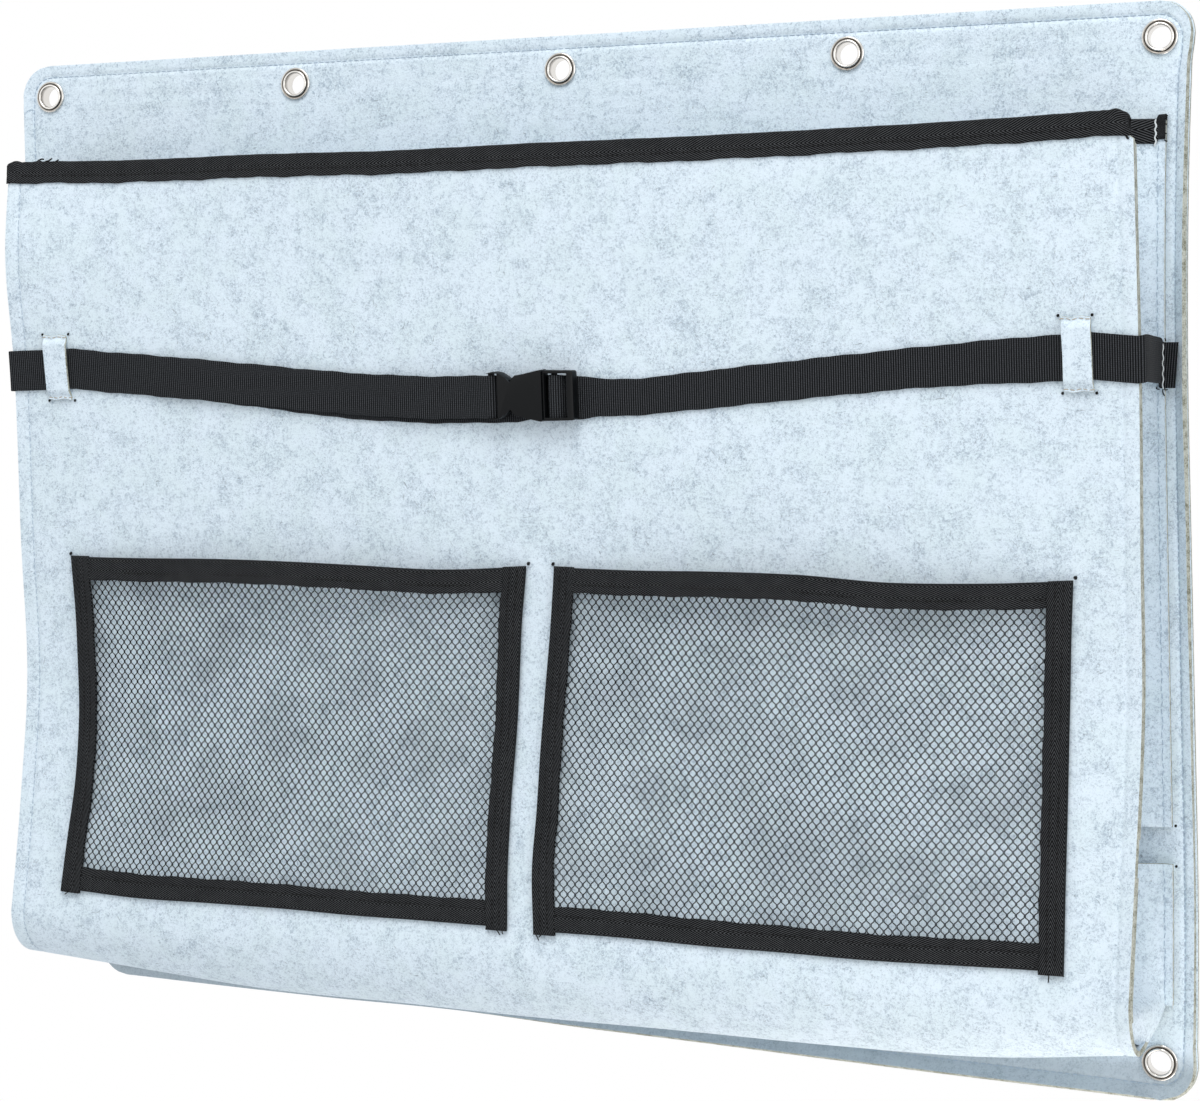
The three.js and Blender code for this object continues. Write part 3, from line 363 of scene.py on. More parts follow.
def mesh_from(name, vertices, quads, material_index=None, uv=None):
    """A mesh of quads and triangles (whose last index is -1) from arrays."""
    mesh = bpy.data.meshes.new(name)
    sizes = np.where(quads[:, 3] < 0, 3, 4)
    starts = np.concatenate([[0], np.cumsum(sizes)[:-1]])
    corners = quads[quads >= 0]
    mesh.vertices.add(len(vertices))
    mesh.vertices.foreach_set("co", np.asarray(vertices, np.float32).ravel())
    mesh.loops.add(len(corners))
    mesh.loops.foreach_set("vertex_index", corners.astype(np.int32))
    mesh.polygons.add(len(quads))
    mesh.polygons.foreach_set("loop_start", starts.astype(np.int32))
    if material_index is not None:
        mesh.polygons.foreach_set("material_index", material_index.astype(np.int32))
    mesh.polygons.foreach_set("use_smooth", np.ones(len(quads), bool))
    if uv is not None:
        layer = mesh.uv_layers.new(name="along")
        layer.data.foreach_set("uv", np.asarray(uv, np.float32)[corners].ravel())
    mesh.update(calc_edges=True)
    mesh.validate()
    return mesh


def cloth_solid(name, points, front, back, keep=None, uv=None):
    """A closed solid on a grid of points: its front face is offset along the grid's normal by front and its
    back face by back, and walls join them along the border of the kept cells. The walls have material 1."""
    rows, columns = points.shape[:2]
    normal = directions(points)
    faces_at = [points + normal * np.broadcast_to(d, (rows, columns))[..., None] for d in (front, back)]
    vertices = np.concatenate([f.reshape(-1, 3) for f in faces_at])
    number = np.arange(rows * columns).reshape(rows, columns)
    if keep is None:
        keep = np.ones((rows - 1, columns - 1), bool)
    a, b = number[:-1, :-1][keep], number[1:, :-1][keep]
    c, d = number[1:, 1:][keep], number[:-1, 1:][keep]
    shift = rows * columns
    top = np.stack([a, b, c, d], 1)
    behind = top[:, ::-1] + shift
    edges = np.concatenate([np.stack(e, 1) for e in ((a, b), (b, c), (c, d), (d, a))])
    both = {tuple(e) for e in edges.tolist()}
    border = np.array([e for e in edges.tolist() if (e[1], e[0]) not in both])
    walls = np.stack([border[:, 1], border[:, 0], border[:, 0] + shift, border[:, 1] + shift], 1)
    quads = np.concatenate([top, behind, walls])
    slot_index = np.concatenate([np.zeros(2 * len(top)), np.ones(len(walls))])
    used, quads = np.unique(quads, return_inverse=True)
    quads = quads.reshape(-1, 4)
    spread = None
    if uv is not None:
        spread = np.concatenate([uv.reshape(-1, 2)] * 2)[used]
    return mesh_from(name, vertices[used], quads, slot_index, spread)


def bevelled(piece, width):
    """Rounds a piece's sharp edges."""
    bevel = piece.modifiers.new("rounded edges", "BEVEL")
    bevel.width = width
    bevel.segments = 2
    bevel.limit_method = "ANGLE"
    bevel.angle_limit = math.radians(50)
    return bevel


FELT_PALE = srgb(227, 241, 251)
FELT_GREEN = srgb(224, 239, 247)
FELT_FLECK = srgb(150, 169, 185)
FELT_DARK = srgb(84, 98, 112)
# The grey of painted shade, laid on felt where shade falls.
FELT_PAINTED_SHADE = srgb(138, 150, 158)
CUT_PALE = srgb(205, 208, 198)
CUT_DARK = srgb(128, 129, 112)
FIBRE_ANGLES = (0.35, 1.4, 2.5)


def felt_finish(name, painted_shade=None):
    """Pale felt with grey-blue fibres in it: soft flecks that gather in patches, finer ones everywhere, and
    a few longer dark fibres in three directions. The function painted_shade gives the share of painted shade
    on it, a darker grey."""
    sockets = {"Roughness": 0.95, "Sheen Weight": 0.1, "Sheen Roughness": 0.6, "Specular IOR Level": 0.2}
    finish = Finish(name, sockets)
    place = finish.place()
    patches = finish.noise(place, 75, 3, 0.62)
    tint = finish.noise(place, 42, 2, 0.5)
    clouds = finish.noise(place, 290, 4, 0.66, 0.3)
    flecks = finish.noise(place, 760, 3, 0.66, 0.6)
    fine = finish.noise(place, 1700, 2, 0.6)
    long_ones = [finish.noise(finish.turned(place, a, (1, 1, 6)), 1150, 1, 0.5, 0.8) for a in FIBRE_ANGLES]
    fibres = long_ones[0].larger(long_ones[1]).larger(long_ones[2])
    base = finish.mix(tint.bend(0.38, 0.66), FELT_PALE, FELT_GREEN)
    fleck_share = (clouds * 0.4 + flecks * 0.65 + fine * 0.4 + patches * 0.3).bend(0.8, 1.12)
    base = finish.mix(fleck_share * 0.85, base, FELT_FLECK)
    fibre_share = (fibres + patches * 0.3).bend(0.86, 0.98)
    base = finish.mix(fibre_share * 0.5, base, FELT_DARK)
    if painted_shade:
        base = finish.mix(painted_shade(finish), base, FELT_PAINTED_SHADE)
    finish.set({"Base Color": base})
    lumps = finish.noise(place, 190, 2, 0.5)
    finish.bump(flecks * 0.5 + fine * 0.3 + fibres * 0.3 + lumps * 0.5, 0.0005)
    return finish


def cut_finish():
    """The cut edge of the felt, where the fibres of all its layers show, pale and olive grey."""
    finish = Finish("felt cut edge", {"Roughness": 1, "Specular IOR Level": 0.1})
    place = finish.place()
    grain = finish.noise(place, 1100, 3, 0.7)
    patches = finish.noise(place, 210, 2, 0.6)
    share = (grain * 0.7 + patches * 0.5).bend(0.48, 0.78)
    finish.set({"Base Color": finish.mix(share, CUT_PALE, CUT_DARK)})
    finish.bump(grain, 0.0008)
    return finish


# Painted shade on the panel's lowest strip, under the pouch: it starts 30 mm above the bottom edge and is
# fullest 14 mm above it.
PAINTED_SHADE_START = 0.030
PAINTED_SHADE_FULL = 0.014
PAINTED_SHADE_MOST = 0.55


def painted_shade_below(finish):
    """Painted shade on the lowest strip of the panel, under the pouch, which shades it."""
    height = finish.coordinate("Z")
    return height.bend(PANEL_BOTTOM + PAINTED_SHADE_START, PANEL_BOTTOM + PAINTED_SHADE_FULL) * PAINTED_SHADE_MOST


felt = felt_finish("pale heathered felt")
# The panel's front layer, with painted shade on its lowest strip under the pouch.
felt_with_painted_shade_below = felt_finish("pale heathered felt, dusty below", painted_shade_below)
cut_edge = cut_finish()

SIDES = (("left", -1), ("right", 1))
TOP_EYELETS = 5
eyelet_reach = PANEL_WIDTH / 2 - EYELET_INSET
eyelet_places = {}
for i in range(TOP_EYELETS):
    eyelet_places[f"top_{i + 1}"] = (-eyelet_reach + 2 * eyelet_reach * i / (TOP_EYELETS - 1), 0.0)
for name, side in SIDES:
    eyelet_places[f"bottom_{name}"] = (side * eyelet_reach, PANEL_BOTTOM + EYELET_INSET)


def panel_border(x, z):
    """How far a place is inside the panel's cut edge, with its round corners."""
    out_x = np.abs(x) - (PANEL_WIDTH / 2 - PANEL_CORNER)
    out_z = np.abs(z - PANEL_MIDDLE) - (PANEL_HEIGHT / 2 - PANEL_CORNER)
    outside = np.hypot(np.maximum(out_x, 0), np.maximum(out_z, 0))
    return PANEL_CORNER - outside - np.minimum(np.maximum(out_x, out_z), 0)


def border_bow(x, z):
    """How far a side border of the panel is drawn in at a height. It fades out 45 mm from the edge."""
    down = (PANEL_TOP - z) / PANEL_HEIGHT
    fade = np.clip((np.abs(x) - BOW_START) / BOW_FADE, 0, 1)
    return np.where(x > 0, smooth_through(RIGHT_BOW, down), smooth_through(LEFT_BOW, down)) * fade


def hung(x, z):
    """A flat place on the panel as it hangs: its x and z, and how far it comes forward. The side borders are
    drawn in, the lower edge is lifted in its middle, and outside the seam the right and lower borders curl
    forward. By an eyelet nothing moves."""
    away = np.min([np.hypot(x - ex, z - ez) for ex, ez in eyelet_places.values()], axis=0)
    free = np.clip((away - EYELET_HOLD) / HOLD_FADE, 0, 1)
    down = (PANEL_TOP - z) / PANEL_HEIGHT
    past = np.clip(1 - panel_border(x, z) / SEAM_INSET, 0, 1)
    to_right = np.clip((x - BOW_START) / 0.03, 0, 1)
    to_bottom = np.clip((PANEL_BOTTOM + 0.04 - z) / 0.03, 0, 1) * np.clip((x + 0.2) / 0.2, 0, 1)
    curl = np.maximum(smooth_through(RIGHT_CURL, down) * to_right, BOTTOM_CURL * to_bottom)
    trim = CURLED_TRIM * np.clip((x - PANEL_WIDTH / 2 + SEAM_INSET) / SEAM_INSET, 0, 1)
    trim = trim * np.clip(np.minimum(PANEL_TOP - z, z - PANEL_BOTTOM) / 0.03, 0, 1)
    lift = smooth_through(BOTTOM_LIFT, x / PANEL_WIDTH + 0.5) * np.clip(down, 0, 1) ** 4
    new_x = x - np.sign(x) * border_bow(x, z) * free - trim
    return new_x, z + lift * free, SEAM_INSET * np.tan(curl) * past**1.4


def stitched_in(inside, inset):
    """The groove that a row of stitches presses into felt: a bell curve across the row."""
    return SEAM_DEPTH * np.exp(-(((inside - inset) / SEAM_HALF) ** 2))


CORNER_ZONE = 0.362
PULL_START = 0.30


def panel_layer(name, node, offset, grooved_front, slip):
    """One layer of the panel: a grid drawn in along its top and bottom rows to round its corners, with the
    felt cut away round each eyelet. slip is how far its edge lies from the other layer's."""
    half = PANEL_WIDTH / 2
    eyelet_x = [x for x, _ in eyelet_places.values()]
    xs = lines(-half, half, step=0.009, fine_step=0.0023, fine_places=eyelet_x, reach=0.014)
    edge_x = lines(-half, half, step=0.009, fine_step=0.0012, fine_places=[-half, half], reach=0.013)
    xs = np.unique(np.round(np.concatenate([xs, edge_x[np.abs(edge_x) > CORNER_ZONE]]), 5))
    ends = [PANEL_BOTTOM, PANEL_TOP]
    zs = lines(*ends, step=0.009, fine_step=0.0013, fine_places=ends, reach=0.034)
    gone = np.clip(PANEL_CORNER - np.minimum(zs - PANEL_BOTTOM, PANEL_TOP - zs), 0, PANEL_CORNER)
    width = half - PANEL_CORNER + np.sqrt(PANEL_CORNER**2 - gone**2)
    x = xs[:, None] * np.ones(len(zs))[None, :]
    pull = np.clip((np.abs(x) - PULL_START) / (half - PULL_START), 0, 1)
    x = np.sign(x) * (np.abs(x) - pull * (half - width[None, :])) + slip[0]
    z = np.broadcast_to(zs[None, :], x.shape) + slip[1]
    keep = np.ones((x.shape[0] - 1, x.shape[1] - 1), bool)
    for ex, ez in eyelet_places.values():
        mid_x = (x[1:, 1:] + x[:-1, :-1]) / 2 - ex
        mid_z = (z[1:, 1:] + z[:-1, :-1]) / 2 - ez
        keep &= np.hypot(mid_x, mid_z) > FELT_HOLE - 0.0006
    on_hole = np.zeros(x.shape, bool)
    for i, j in ((0, 0), (0, 1), (1, 0), (1, 1)):
        on_hole[i : i + keep.shape[0], j : j + keep.shape[1]] |= ~keep
    for ex, ez in eyelet_places.values():
        away = np.hypot(x - ex, z - ez)
        near = (away < 0.0125) & (on_hole | (away < FELT_HOLE)) & (away > 1e-6)
        x = np.where(near, ex + (x - ex) / np.maximum(away, 1e-6) * FELT_HOLE, x)
        z = np.where(near, ez + (z - ez) / np.maximum(away, 1e-6) * FELT_HOLE, z)
    groove = stitched_in(panel_border(x - slip[0], z - slip[1]), SEAM_INSET)
    hung_x, hung_z, forward = hung(x, z)
    points = np.stack([hung_x, panel_rear(hung_x, hung_z) - offset - forward, hung_z], -1)
    ruffle = 0.00012 * np.sin(x * 700) * np.sin(z * 640)
    front = FELT / 2 - (groove if grooved_front else 0) + ruffle
    back = -FELT / 2 + (0 if grooved_front else groove)
    mesh = cloth_solid(name, points, front, back, keep)
    piece = link(name, mesh, "panel", "felt", felt_with_painted_shade_below if grooved_front else felt, cut_edge)
    bevelled(piece, 0.0005)
    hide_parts(node)


panel_layer("back_felt_rear", "back_panel_rear", FELT / 2, False, (0.0012, 0.0004))
panel_layer("back_felt_front", "back_panel_front", FELT + GAP + FELT / 2, True, (0, 0))


TO_FRONT = (0, -1, 0)
FELT_STITCH = (0.0032, 0.0008, 0.0006)
PATH_STEP = 0.002


def run_along(path):
    """How far along a path each of its points lies."""
    return np.concatenate([[0], np.cumsum(np.linalg.norm(np.diff(path, axis=0), axis=1))])


def along_path(path, run, at):
    """Places at some distances along a path whose points lie at the distances run."""
    return np.stack([np.interp(at, run, column) for column in path.T], -1)


def rings(first, second, turn):
    """Rings of unit radius round the points of tubes, in the plane of two directions."""
    return first[:, :, None] * np.cos(turn)[:, None] + second[:, :, None] * np.sin(turn)[:, None]


def tubes(points):
    """The numbers of points given by tube, ring and place round the ring, and the tubes' walls."""
    number = np.arange(points[..., 0].size).reshape(points.shape[:3])
    around = np.roll(number, -1, axis=2)
    walls = np.stack([number[:, :-1], around[:, :-1], around[:, 1:], number[:, 1:]], -1)
    return number, walls.reshape(-1, 4)


def stitches(name, path, outward, size, finish, body, slot_name, wobble=0.0):
    """A row of machine stitches: each is a grain of thread that lies along the path and dips in at both ends.
    outward is the path's normals or one direction, and size a stitch's length, gap and thickness."""
    length, gap, thickness = size
    run = run_along(path)
    count = max(1, int(run[-1] // (length + gap)))
    pitch = run[-1] / count
    stations = np.array([-0.5, -0.42, -0.2, 0.2, 0.42, 0.5])
    radius = np.array([0.15, 0.7, 1, 1, 0.7, 0.15]) * thickness / 2
    lift = np.array([-0.9, -0.25, 0.25, 0.25, -0.25, -0.9]) * thickness / 2
    at = (np.arange(count)[:, None] + 0.5) * pitch + stations[None, :] * (length + gap * 0.3)
    out = unit(along_path(np.broadcast_to(outward, path.shape), run, at))
    ahead = unit(along_path(path, run, at + 1e-4) - along_path(path, run, at - 1e-4))
    side = unit(np.cross(ahead, out))
    lean = wobble * np.sin(np.arange(count) * 2.4)[:, None, None] * stations[None, :, None]
    centre = along_path(path, run, at) + out * lift[None, :, None] + side * lean
    ring = rings(out, side, np.arange(6) / 6 * 2 * math.pi)
    points = centre[:, :, None] + ring * radius[None, :, None, None]
    number, walls = tubes(points)
    caps = []
    for ends in (number[:, 0][:, [0, 5, 4, 3, 2, 1]], number[:, -1]):
        caps += [ends[:, [0, 1, 2, 3]], ends[:, [0, 3, 4, 5]]]
    mesh = mesh_from(name, points.reshape(-1, 3), np.concatenate([walls] + caps))
    return link(name, mesh, body, slot_name, finish)


pale_thread = Finish("pale blue thread", {"Base Color": srgb(168, 186, 202), "Roughness": 0.6})
black_thread = Finish(
    "black thread", {"Base Color": srgb(10, 10, 12), "Roughness": 0.6, "Specular IOR Level": 0.2}
)


def rounded_path(inset):
    """Points along the panel's border, inset from its cut edge, as a closed loop with round corners."""
    half_x, half_z = PANEL_WIDTH / 2 - PANEL_CORNER, PANEL_HEIGHT / 2 - PANEL_CORNER
    radius = PANEL_CORNER - inset
    outline = []
    for sx, sz, start in ((1, 1, 0), (-1, 1, 0.5), (-1, -1, 1), (1, -1, 1.5)):
        turn = (start + np.linspace(0, 0.5, 12)) * math.pi
        corner = [sx * half_x + radius * np.cos(turn), sz * half_z + radius * np.sin(turn)]
        outline.append(np.stack(corner, 1))
    outline = np.concatenate(outline + [outline[0][:1]])
    run = run_along(outline)
    x, z = along_path(outline, run, np.arange(0, run[-1], PATH_STEP)).T
    return x, z + PANEL_MIDDLE


def thread_tubes(name, paths, thickness, finish, body, slot_name):
    """Threads as five-sided tubes: rings of points square to each path, smaller at both ends. paths is an
    array of threads, points and coordinates."""
    ahead = unit(np.gradient(paths, axis=1))
    side = unit(np.cross(ahead, np.array([0.31, -0.9, 0.29])))
    up = np.cross(ahead, side)
    from_end = np.minimum(np.arange(paths.shape[1]), np.arange(paths.shape[1])[::-1])
    radius = thickness / 2 * np.minimum(1, 0.4 + from_end)
    ring = rings(side, up, np.arange(5) / 5 * 2 * math.pi)
    points = paths[:, :, None] + ring * radius[None, :, None, None]
    number, walls = tubes(points)
    none = np.full((len(paths), 1), -1)
    first, last = number[:, 0][:, ::-1], number[:, -1]
    caps = [np.concatenate([end[:, [0, 3, 4]], none], 1) for end in (first, last)]
    quads = np.concatenate([walls, first[:, :4], last[:, :4]] + caps)
    return link(name, mesh_from(name, points.reshape(-1, 3), quads), body, slot_name, finish)


def thread_ends(name, starts, headings, lengths, thickness, finish, body, slot_name, seed):
    """Loose ends of thread: from each start, nine steps whose heading wanders by seeded random turns."""
    starts, headings = np.array(starts, float), np.array(headings, float)
    turns = np.cumsum(np.random.default_rng(seed).normal(0, 0.3, (len(starts), 9, 3)), axis=1)
    steps = headings[:, None] + turns
    steps *= np.array(lengths)[:, None, None] / 9 / np.linalg.norm(steps, axis=-1, keepdims=True)
    paths = np.concatenate([starts[:, None], starts[:, None] + np.cumsum(steps, axis=1)], axis=1)
    return thread_tubes(name, paths, thickness, finish, body, slot_name)


def knots(name, places, size, finish, body, slot_name):
    """Knots of thread, each a short coil of one and a half turns that closes up on itself."""
    turn = np.linspace(0, 3 * math.pi, 10)
    reach = np.linspace(1, 0.3, 10)
    coil = np.stack([reach * np.cos(turn), -np.linspace(0, 1, 10), reach * np.sin(turn)], -1) * size * 0.28
    return thread_tubes(name, np.array(places)[:, None] + coil[None], size * 0.5, finish, body, slot_name)


seam_x, seam_z, _ = hung(*rounded_path(SEAM_INSET))
in_groove = SEAM_DEPTH * 0.8
for name, depth, sign in (
    ("back_seam_front", 2 * FELT + GAP - in_groove, -1),
    ("back_seam_rear", in_groove, 1),
):
    seam = np.stack([seam_x, panel_rear(seam_x, seam_z) - depth, seam_z], 1)
    stitches(name, seam, (0, sign, 0), FELT_STITCH, pale_thread, "panel", "felt")
at_left = -PANEL_WIDTH / 2 + SEAM_INSET
thread_ends(
    "back_thread_ends",
    [(at_left, panel_rear(at_left, -0.008) - 2 * FELT - GAP, -0.008), (0.351, -2 * FELT - GAP, -0.547)],
    [(-1, -0.1, -0.1), (-0.35, -0.3, 1)],
    [0.0105, 0.012],
    0.0005, pale_thread, "panel", "felt", 3,
)


# Eyelets.
# Seven nickel-plated brass eyelets: a domed flange in front, a barrel through the felt, and behind it a
# washer over which the barrel's end is rolled.
EYELET_FLANGE = 0.0100
EYELET_BORE = 0.0066
RING_SEGMENTS = 72


def lathed(name, profile, place):
    """A closed ring, turned about Y from a profile of radius, depth and polish with painted light, and set
    square on the panel's face. That value, from 0 in the grooves to 1 on the crests, goes into the UV map's
    first coordinate."""
    turn = np.arange(RING_SEGMENTS) / RING_SEGMENTS * 2 * math.pi
    radius, depth, polish_and_painted_light = np.array(profile).T
    x, z = place
    step = 0.001
    slope_x = (panel_rear(x + step, z) - panel_rear(x - step, z)) / (2 * step)
    slope_z = (panel_rear(x, z + step) - panel_rear(x, z - step)) / (2 * step)
    normal = unit(np.array([-slope_x, 1, -slope_z]))
    across = unit(np.cross(normal, [0, 0, 1]))
    up = np.cross(across, normal)
    right, high = radius[:, None] * np.cos(turn), radius[:, None] * np.sin(turn)
    points = right[..., None] * across + depth[:, None, None] * normal + high[..., None] * up
    points = points + np.array([x, float(panel_rear(x, z)), z])
    number = np.arange(right.size).reshape(right.shape)
    ahead = np.roll(number, -1, axis=0)
    quads = np.stack([number, np.roll(number, -1, axis=1), np.roll(ahead, -1, axis=1), ahead], -1)
    uv = uv_grid(polish_and_painted_light, turn).reshape(-1, 2)
    return mesh_from(name, points.reshape(-1, 3), quads.reshape(-1, 4), uv=uv)


def nickel_finish():
    """Nickel plate, smoother on the crests, with a few dull spots. Its colour holds painted light: a painted
    highlight on the crests and painted shade, dull and brownish, in the grooves.
    """
    finish = Finish("nickel plate", {"Metallic": 1})
    polish_and_painted_light, _ = finish.along()
    place = finish.place()
    spots = finish.noise(place, 420, 3, 0.6)
    shine = (polish_and_painted_light + spots * 0.3 - 0.15).bend(0.1, 0.9)
    # Painted highlight on the crests and painted shade in the grooves, varied by the dull spots.
    finish.set({"Base Color": finish.mix(shine, srgb(96, 90, 82), srgb(226, 223, 218))})
    finish.set({"Roughness": 0.34 - shine * 0.16})
    finish.bump(finish.noise(place, 900, 2, 0.5), 0.00005)
    return finish


def arc(radius, depth, size_out, size_deep, first, last, count, polish_and_painted_light):
    """Points of a profile on an elliptical arc, with the polish and painted light at its two ends and its
    middle.
    """
    turn = np.linspace(first, last, count) * math.pi
    shine = np.interp(np.linspace(0, 1, count), (0, 0.5, 1), polish_and_painted_light)
    return list(zip(radius + size_out * np.cos(turn), depth + size_deep * np.sin(turn), shine))


nickel = nickel_finish()
face = -2 * FELT - GAP
# Each profile point's third value is polish and painted light: crests painted bright as a highlight, grooves
# painted dark as shade.
eyelet_profile = (
    arc(0.0091, face - 0.0007, 0.0009, 0.0008, 0.5, -0.75, 11, (0.3, 1, 0.1))
    + [(0.0082, face - 0.0011, 0.0)]
    + arc(0.0073, face - 0.0013, 0.0008, 0.0009, 0.1, -0.95, 11, (0.0, 1, 0.4))
    + [(EYELET_BORE, face - 0.0008, 0.35), (EYELET_BORE + 0.0001, face / 2, 1.0), (EYELET_BORE, 0.0012, 1.0)]
    + arc(0.0078, 0.0014, 0.0012, 0.0009, 0.95, 0, 9, (0.6, 1, 0.2))
    + [(0.0080, 0.0011, 0.1), (0.0071, 0.0011, 0.1), (0.0071, face + 0.0002, 0.1)]
)
washer_rim = arc(0.0090, 0.0006, 0.0010, 0.0005, -0.5, 0.5, 7, (0.3, 1, 0.9))
washer_profile = [(0.0073, 0.0001, 0.3)] + washer_rim + [(0.0073, 0.0010, 0.4)]
for key, place in eyelet_places.items():
    for part, node, profile in (
        ("eyelet", "eyelet", eyelet_profile),
        ("washer", "eyelet_washer", washer_profile),
    ):
        name = f"back_{part}_{key}"
        piece = link(name, lathed(name, profile, place), "panel", "nickel", nickel)
        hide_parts(f"{node}_{key}")


# Front sheet.
# One piece of felt is the pouch's front, its rounded lower edge and its bottom. Its back edge is hemmed down
# onto the panel, and its sides are stitched to the gussets.
FRONT_WIDTH = 0.712
FRONT_TOP = PANEL_TOP - 0.066
FRONT_LOWEST = FRONT_TOP - 0.506
FRONT_DEPTHS = np.array([60, 53, 46, 41, 36, 43, 54]) / 1000
FRONT_SLANT = 0.015
ROLL_HEIGHT = 0.036
ROLL_DEPTH = 0.030
ROLL_TOP = FRONT_LOWEST + ROLL_HEIGHT
BOTTOM_DROP = np.array([-6.4, 0.2, 5.5, 5.9, 6.7, 6.5, 6.5, 5.0, -4.2]) / 1000
TOP_SAG = np.array([1.0, 3.4, 3.8, 5.4, 5.2, 5.6, 5.2, 4.4, 2.2]) / 1000
LEFT_OUT = np.array([0, 9, 6.5, 7, 6.6, 6, 4, 4, 5]) / 1000
FRONT_CURL = np.array([0, 0, 0, 0.6, 2.0, 2.2, 2.2, 3.0, 4.0]) / 1000
FRONT_TRIM = np.array([1.5, 0.8, 0.2, 0.2, 0.2, 0.4, 1.2, 2.4, 3.4]) / 1000
POCKET_SPACE = 0.020
POCKET_WIDTH = (FRONT_WIDTH - POCKET_SPACE) / 2 - 0.039
POCKET_HEIGHT = 0.205
POCKET_TOP = PANEL_BOTTOM + 0.081 + POCKET_HEIGHT
BACK_RISE = 0.008
BACK_FOLD = 0.005
HEM = 0.010
SIDE_SEAM = 0.0088
TRIM_START = 0.28
TRIM_REACH = 0.076
TAPED_CORNER = 0.0045
TAPED_HEIGHT = 0.0165
TAPED_START = 0.344
TAPED_REACH = 0.012


def front_share(z):
    """How far down the front a height is: 0 at its top edge and 1 where its lower edge starts to round."""
    return (FRONT_TOP - z) / (FRONT_TOP - ROLL_TOP)


def front_face(x, z):
    """The outer face of the front sheet down to its rounded lower edge. Its left border swells forward and
    its right border curls forward."""
    down = front_share(z)
    depth = smooth_through(FRONT_DEPTHS, down)
    swell = smooth_through(LEFT_OUT, down) * np.clip((-x - 0.16) / 0.196, 0, 1) ** 2
    curl = smooth_through(FRONT_CURL, down) * np.clip((x - 0.333) / 0.023, 0, 1) ** 2
    return -2 * FELT - GAP - depth - swell - curl - FRONT_SLANT * x / (FRONT_WIDTH / 2) + unevenness(x, z)


def on_front(x, z, out):
    """Places on the front sheet's outer face, or out from it."""
    x, z = np.broadcast_arrays(np.asarray(x, float), np.asarray(z, float))
    return np.stack([x, front_face(x, z) - out, z], -1)


def trim_share(x):
    """How much of the right border's trim a place gets: none left of its start, and all at the edge."""
    return np.clip((x - TRIM_START) / TRIM_REACH, 0, 1) ** 2


def front_trim(x, z):
    """How far the front sheet's right border is drawn in at a height. Its top corner is drawn in further, so
    that the tape covers it."""
    near_top = np.clip((z - FRONT_TOP + TAPED_HEIGHT) / 0.003, 0, 1)
    to_corner = np.clip((x - TAPED_START) / TAPED_REACH, 0, 1) ** 2
    under_tape = TAPED_CORNER * near_top * to_corner
    return smooth_through(FRONT_TRIM, front_share(z)) * trim_share(x) + under_tape


def top_sag(x):
    """How far the front sheet's top edge sags."""
    return smooth_through(TOP_SAG, x / FRONT_WIDTH + 0.5)


def pouch_bottom(x):
    """How low the pouch's bottom hangs: lowest in the middle, and drawn up at its ends."""
    return FRONT_LOWEST - smooth_through(BOTTOM_DROP, x / FRONT_WIDTH + 0.5)


def pouch_seam(x):
    """How high the pouch's bottom meets the panel: a little above its lowest, and clear of the eyelets."""
    seam = pouch_bottom(x) + BACK_RISE
    above_eyelets = PANEL_BOTTOM + EYELET_INSET + EYELET_FLANGE + HEM + 0.008
    return seam + np.clip((np.abs(x) - 0.315) / 0.02, 0, 1) * np.maximum(0, above_eyelets - seam)


def through(rows, steps):
    """A Catmull-Rom curve through rows of points, with some steps between each two."""
    rows = np.array(rows)
    ends = padded(rows)
    f = (np.arange(steps) / steps)[:, None, None]
    curve = [catmull_rom(*ends[i : i + 4], f) for i in range(len(rows) - 1)]
    return np.concatenate(curve + [rows[-1:]])


def front_grid():
    """The middle of the front sheet's felt: rows down the front, a quarter ellipse round the lower edge, and
    a smooth curve back to the panel and down onto it."""
    ends = [-FRONT_WIDTH / 2, FRONT_WIDTH / 2]
    xs = lines(*ends, step=0.007, fine_step=0.0012, fine_places=ends, reach=0.014)
    zs = lines(ROLL_TOP, FRONT_TOP, step=0.007, fine_step=0.003, fine_places=[FRONT_TOP], reach=0.021)
    zs = zs[::-1]
    corner = 0.006 * np.clip((xs - FRONT_WIDTH / 2 + 0.009) / 0.009, 0, 1) ** 1.5
    up = (zs - ROLL_TOP) / (FRONT_TOP - ROLL_TOP)
    rows_z = [z - top_sag(xs) * t**3 - corner * t**30 for z, t in zip(zs, up)]
    rows_y = [front_face(xs, z) + FELT / 2 for z in rows_z]
    lowest = pouch_bottom(xs) + FELT / 2
    start = rows_y[-1]
    for turn in np.linspace(0, math.pi / 2, 19)[1:]:
        rows_y.append(start + ROLL_DEPTH * (1 - math.cos(turn)))
        rows_z.append(ROLL_TOP + (lowest - ROLL_TOP) * math.sin(turn))
    seam = pouch_seam(xs) + FELT / 2

    def on_panel(z):
        return panel_front(xs, z) - SEAT - FELT / 2

    controls = [
        (rows_y[-1], rows_z[-1]),
        ((rows_y[-1] + on_panel(seam)) / 2, lowest + 0.2 * (seam - lowest)),
        (on_panel(seam) - BACK_FOLD, seam),
        (on_panel(seam - FELT), seam - FELT),
        (on_panel(seam - HEM), seam - HEM),
    ]
    back = through([np.stack(c, 1) for c in controls], 7)[1:]
    y = np.concatenate([np.array(rows_y), back[:, :, 0]])
    z = np.concatenate([np.array(rows_z), back[:, :, 1]])
    x = np.broadcast_to(xs[None, :], y.shape)
    return np.stack([x - front_trim(x, z), y, z], -1), FRONT_WIDTH / 2 - np.abs(x)


# Painted shadow of the nets: soft darker patches on the felt behind them.
NET_SHADOW_MARGIN = 0.004
NET_SHADOW_SIDE_FADE = 0.006
NET_SHADOW_END_FADE = 0.012


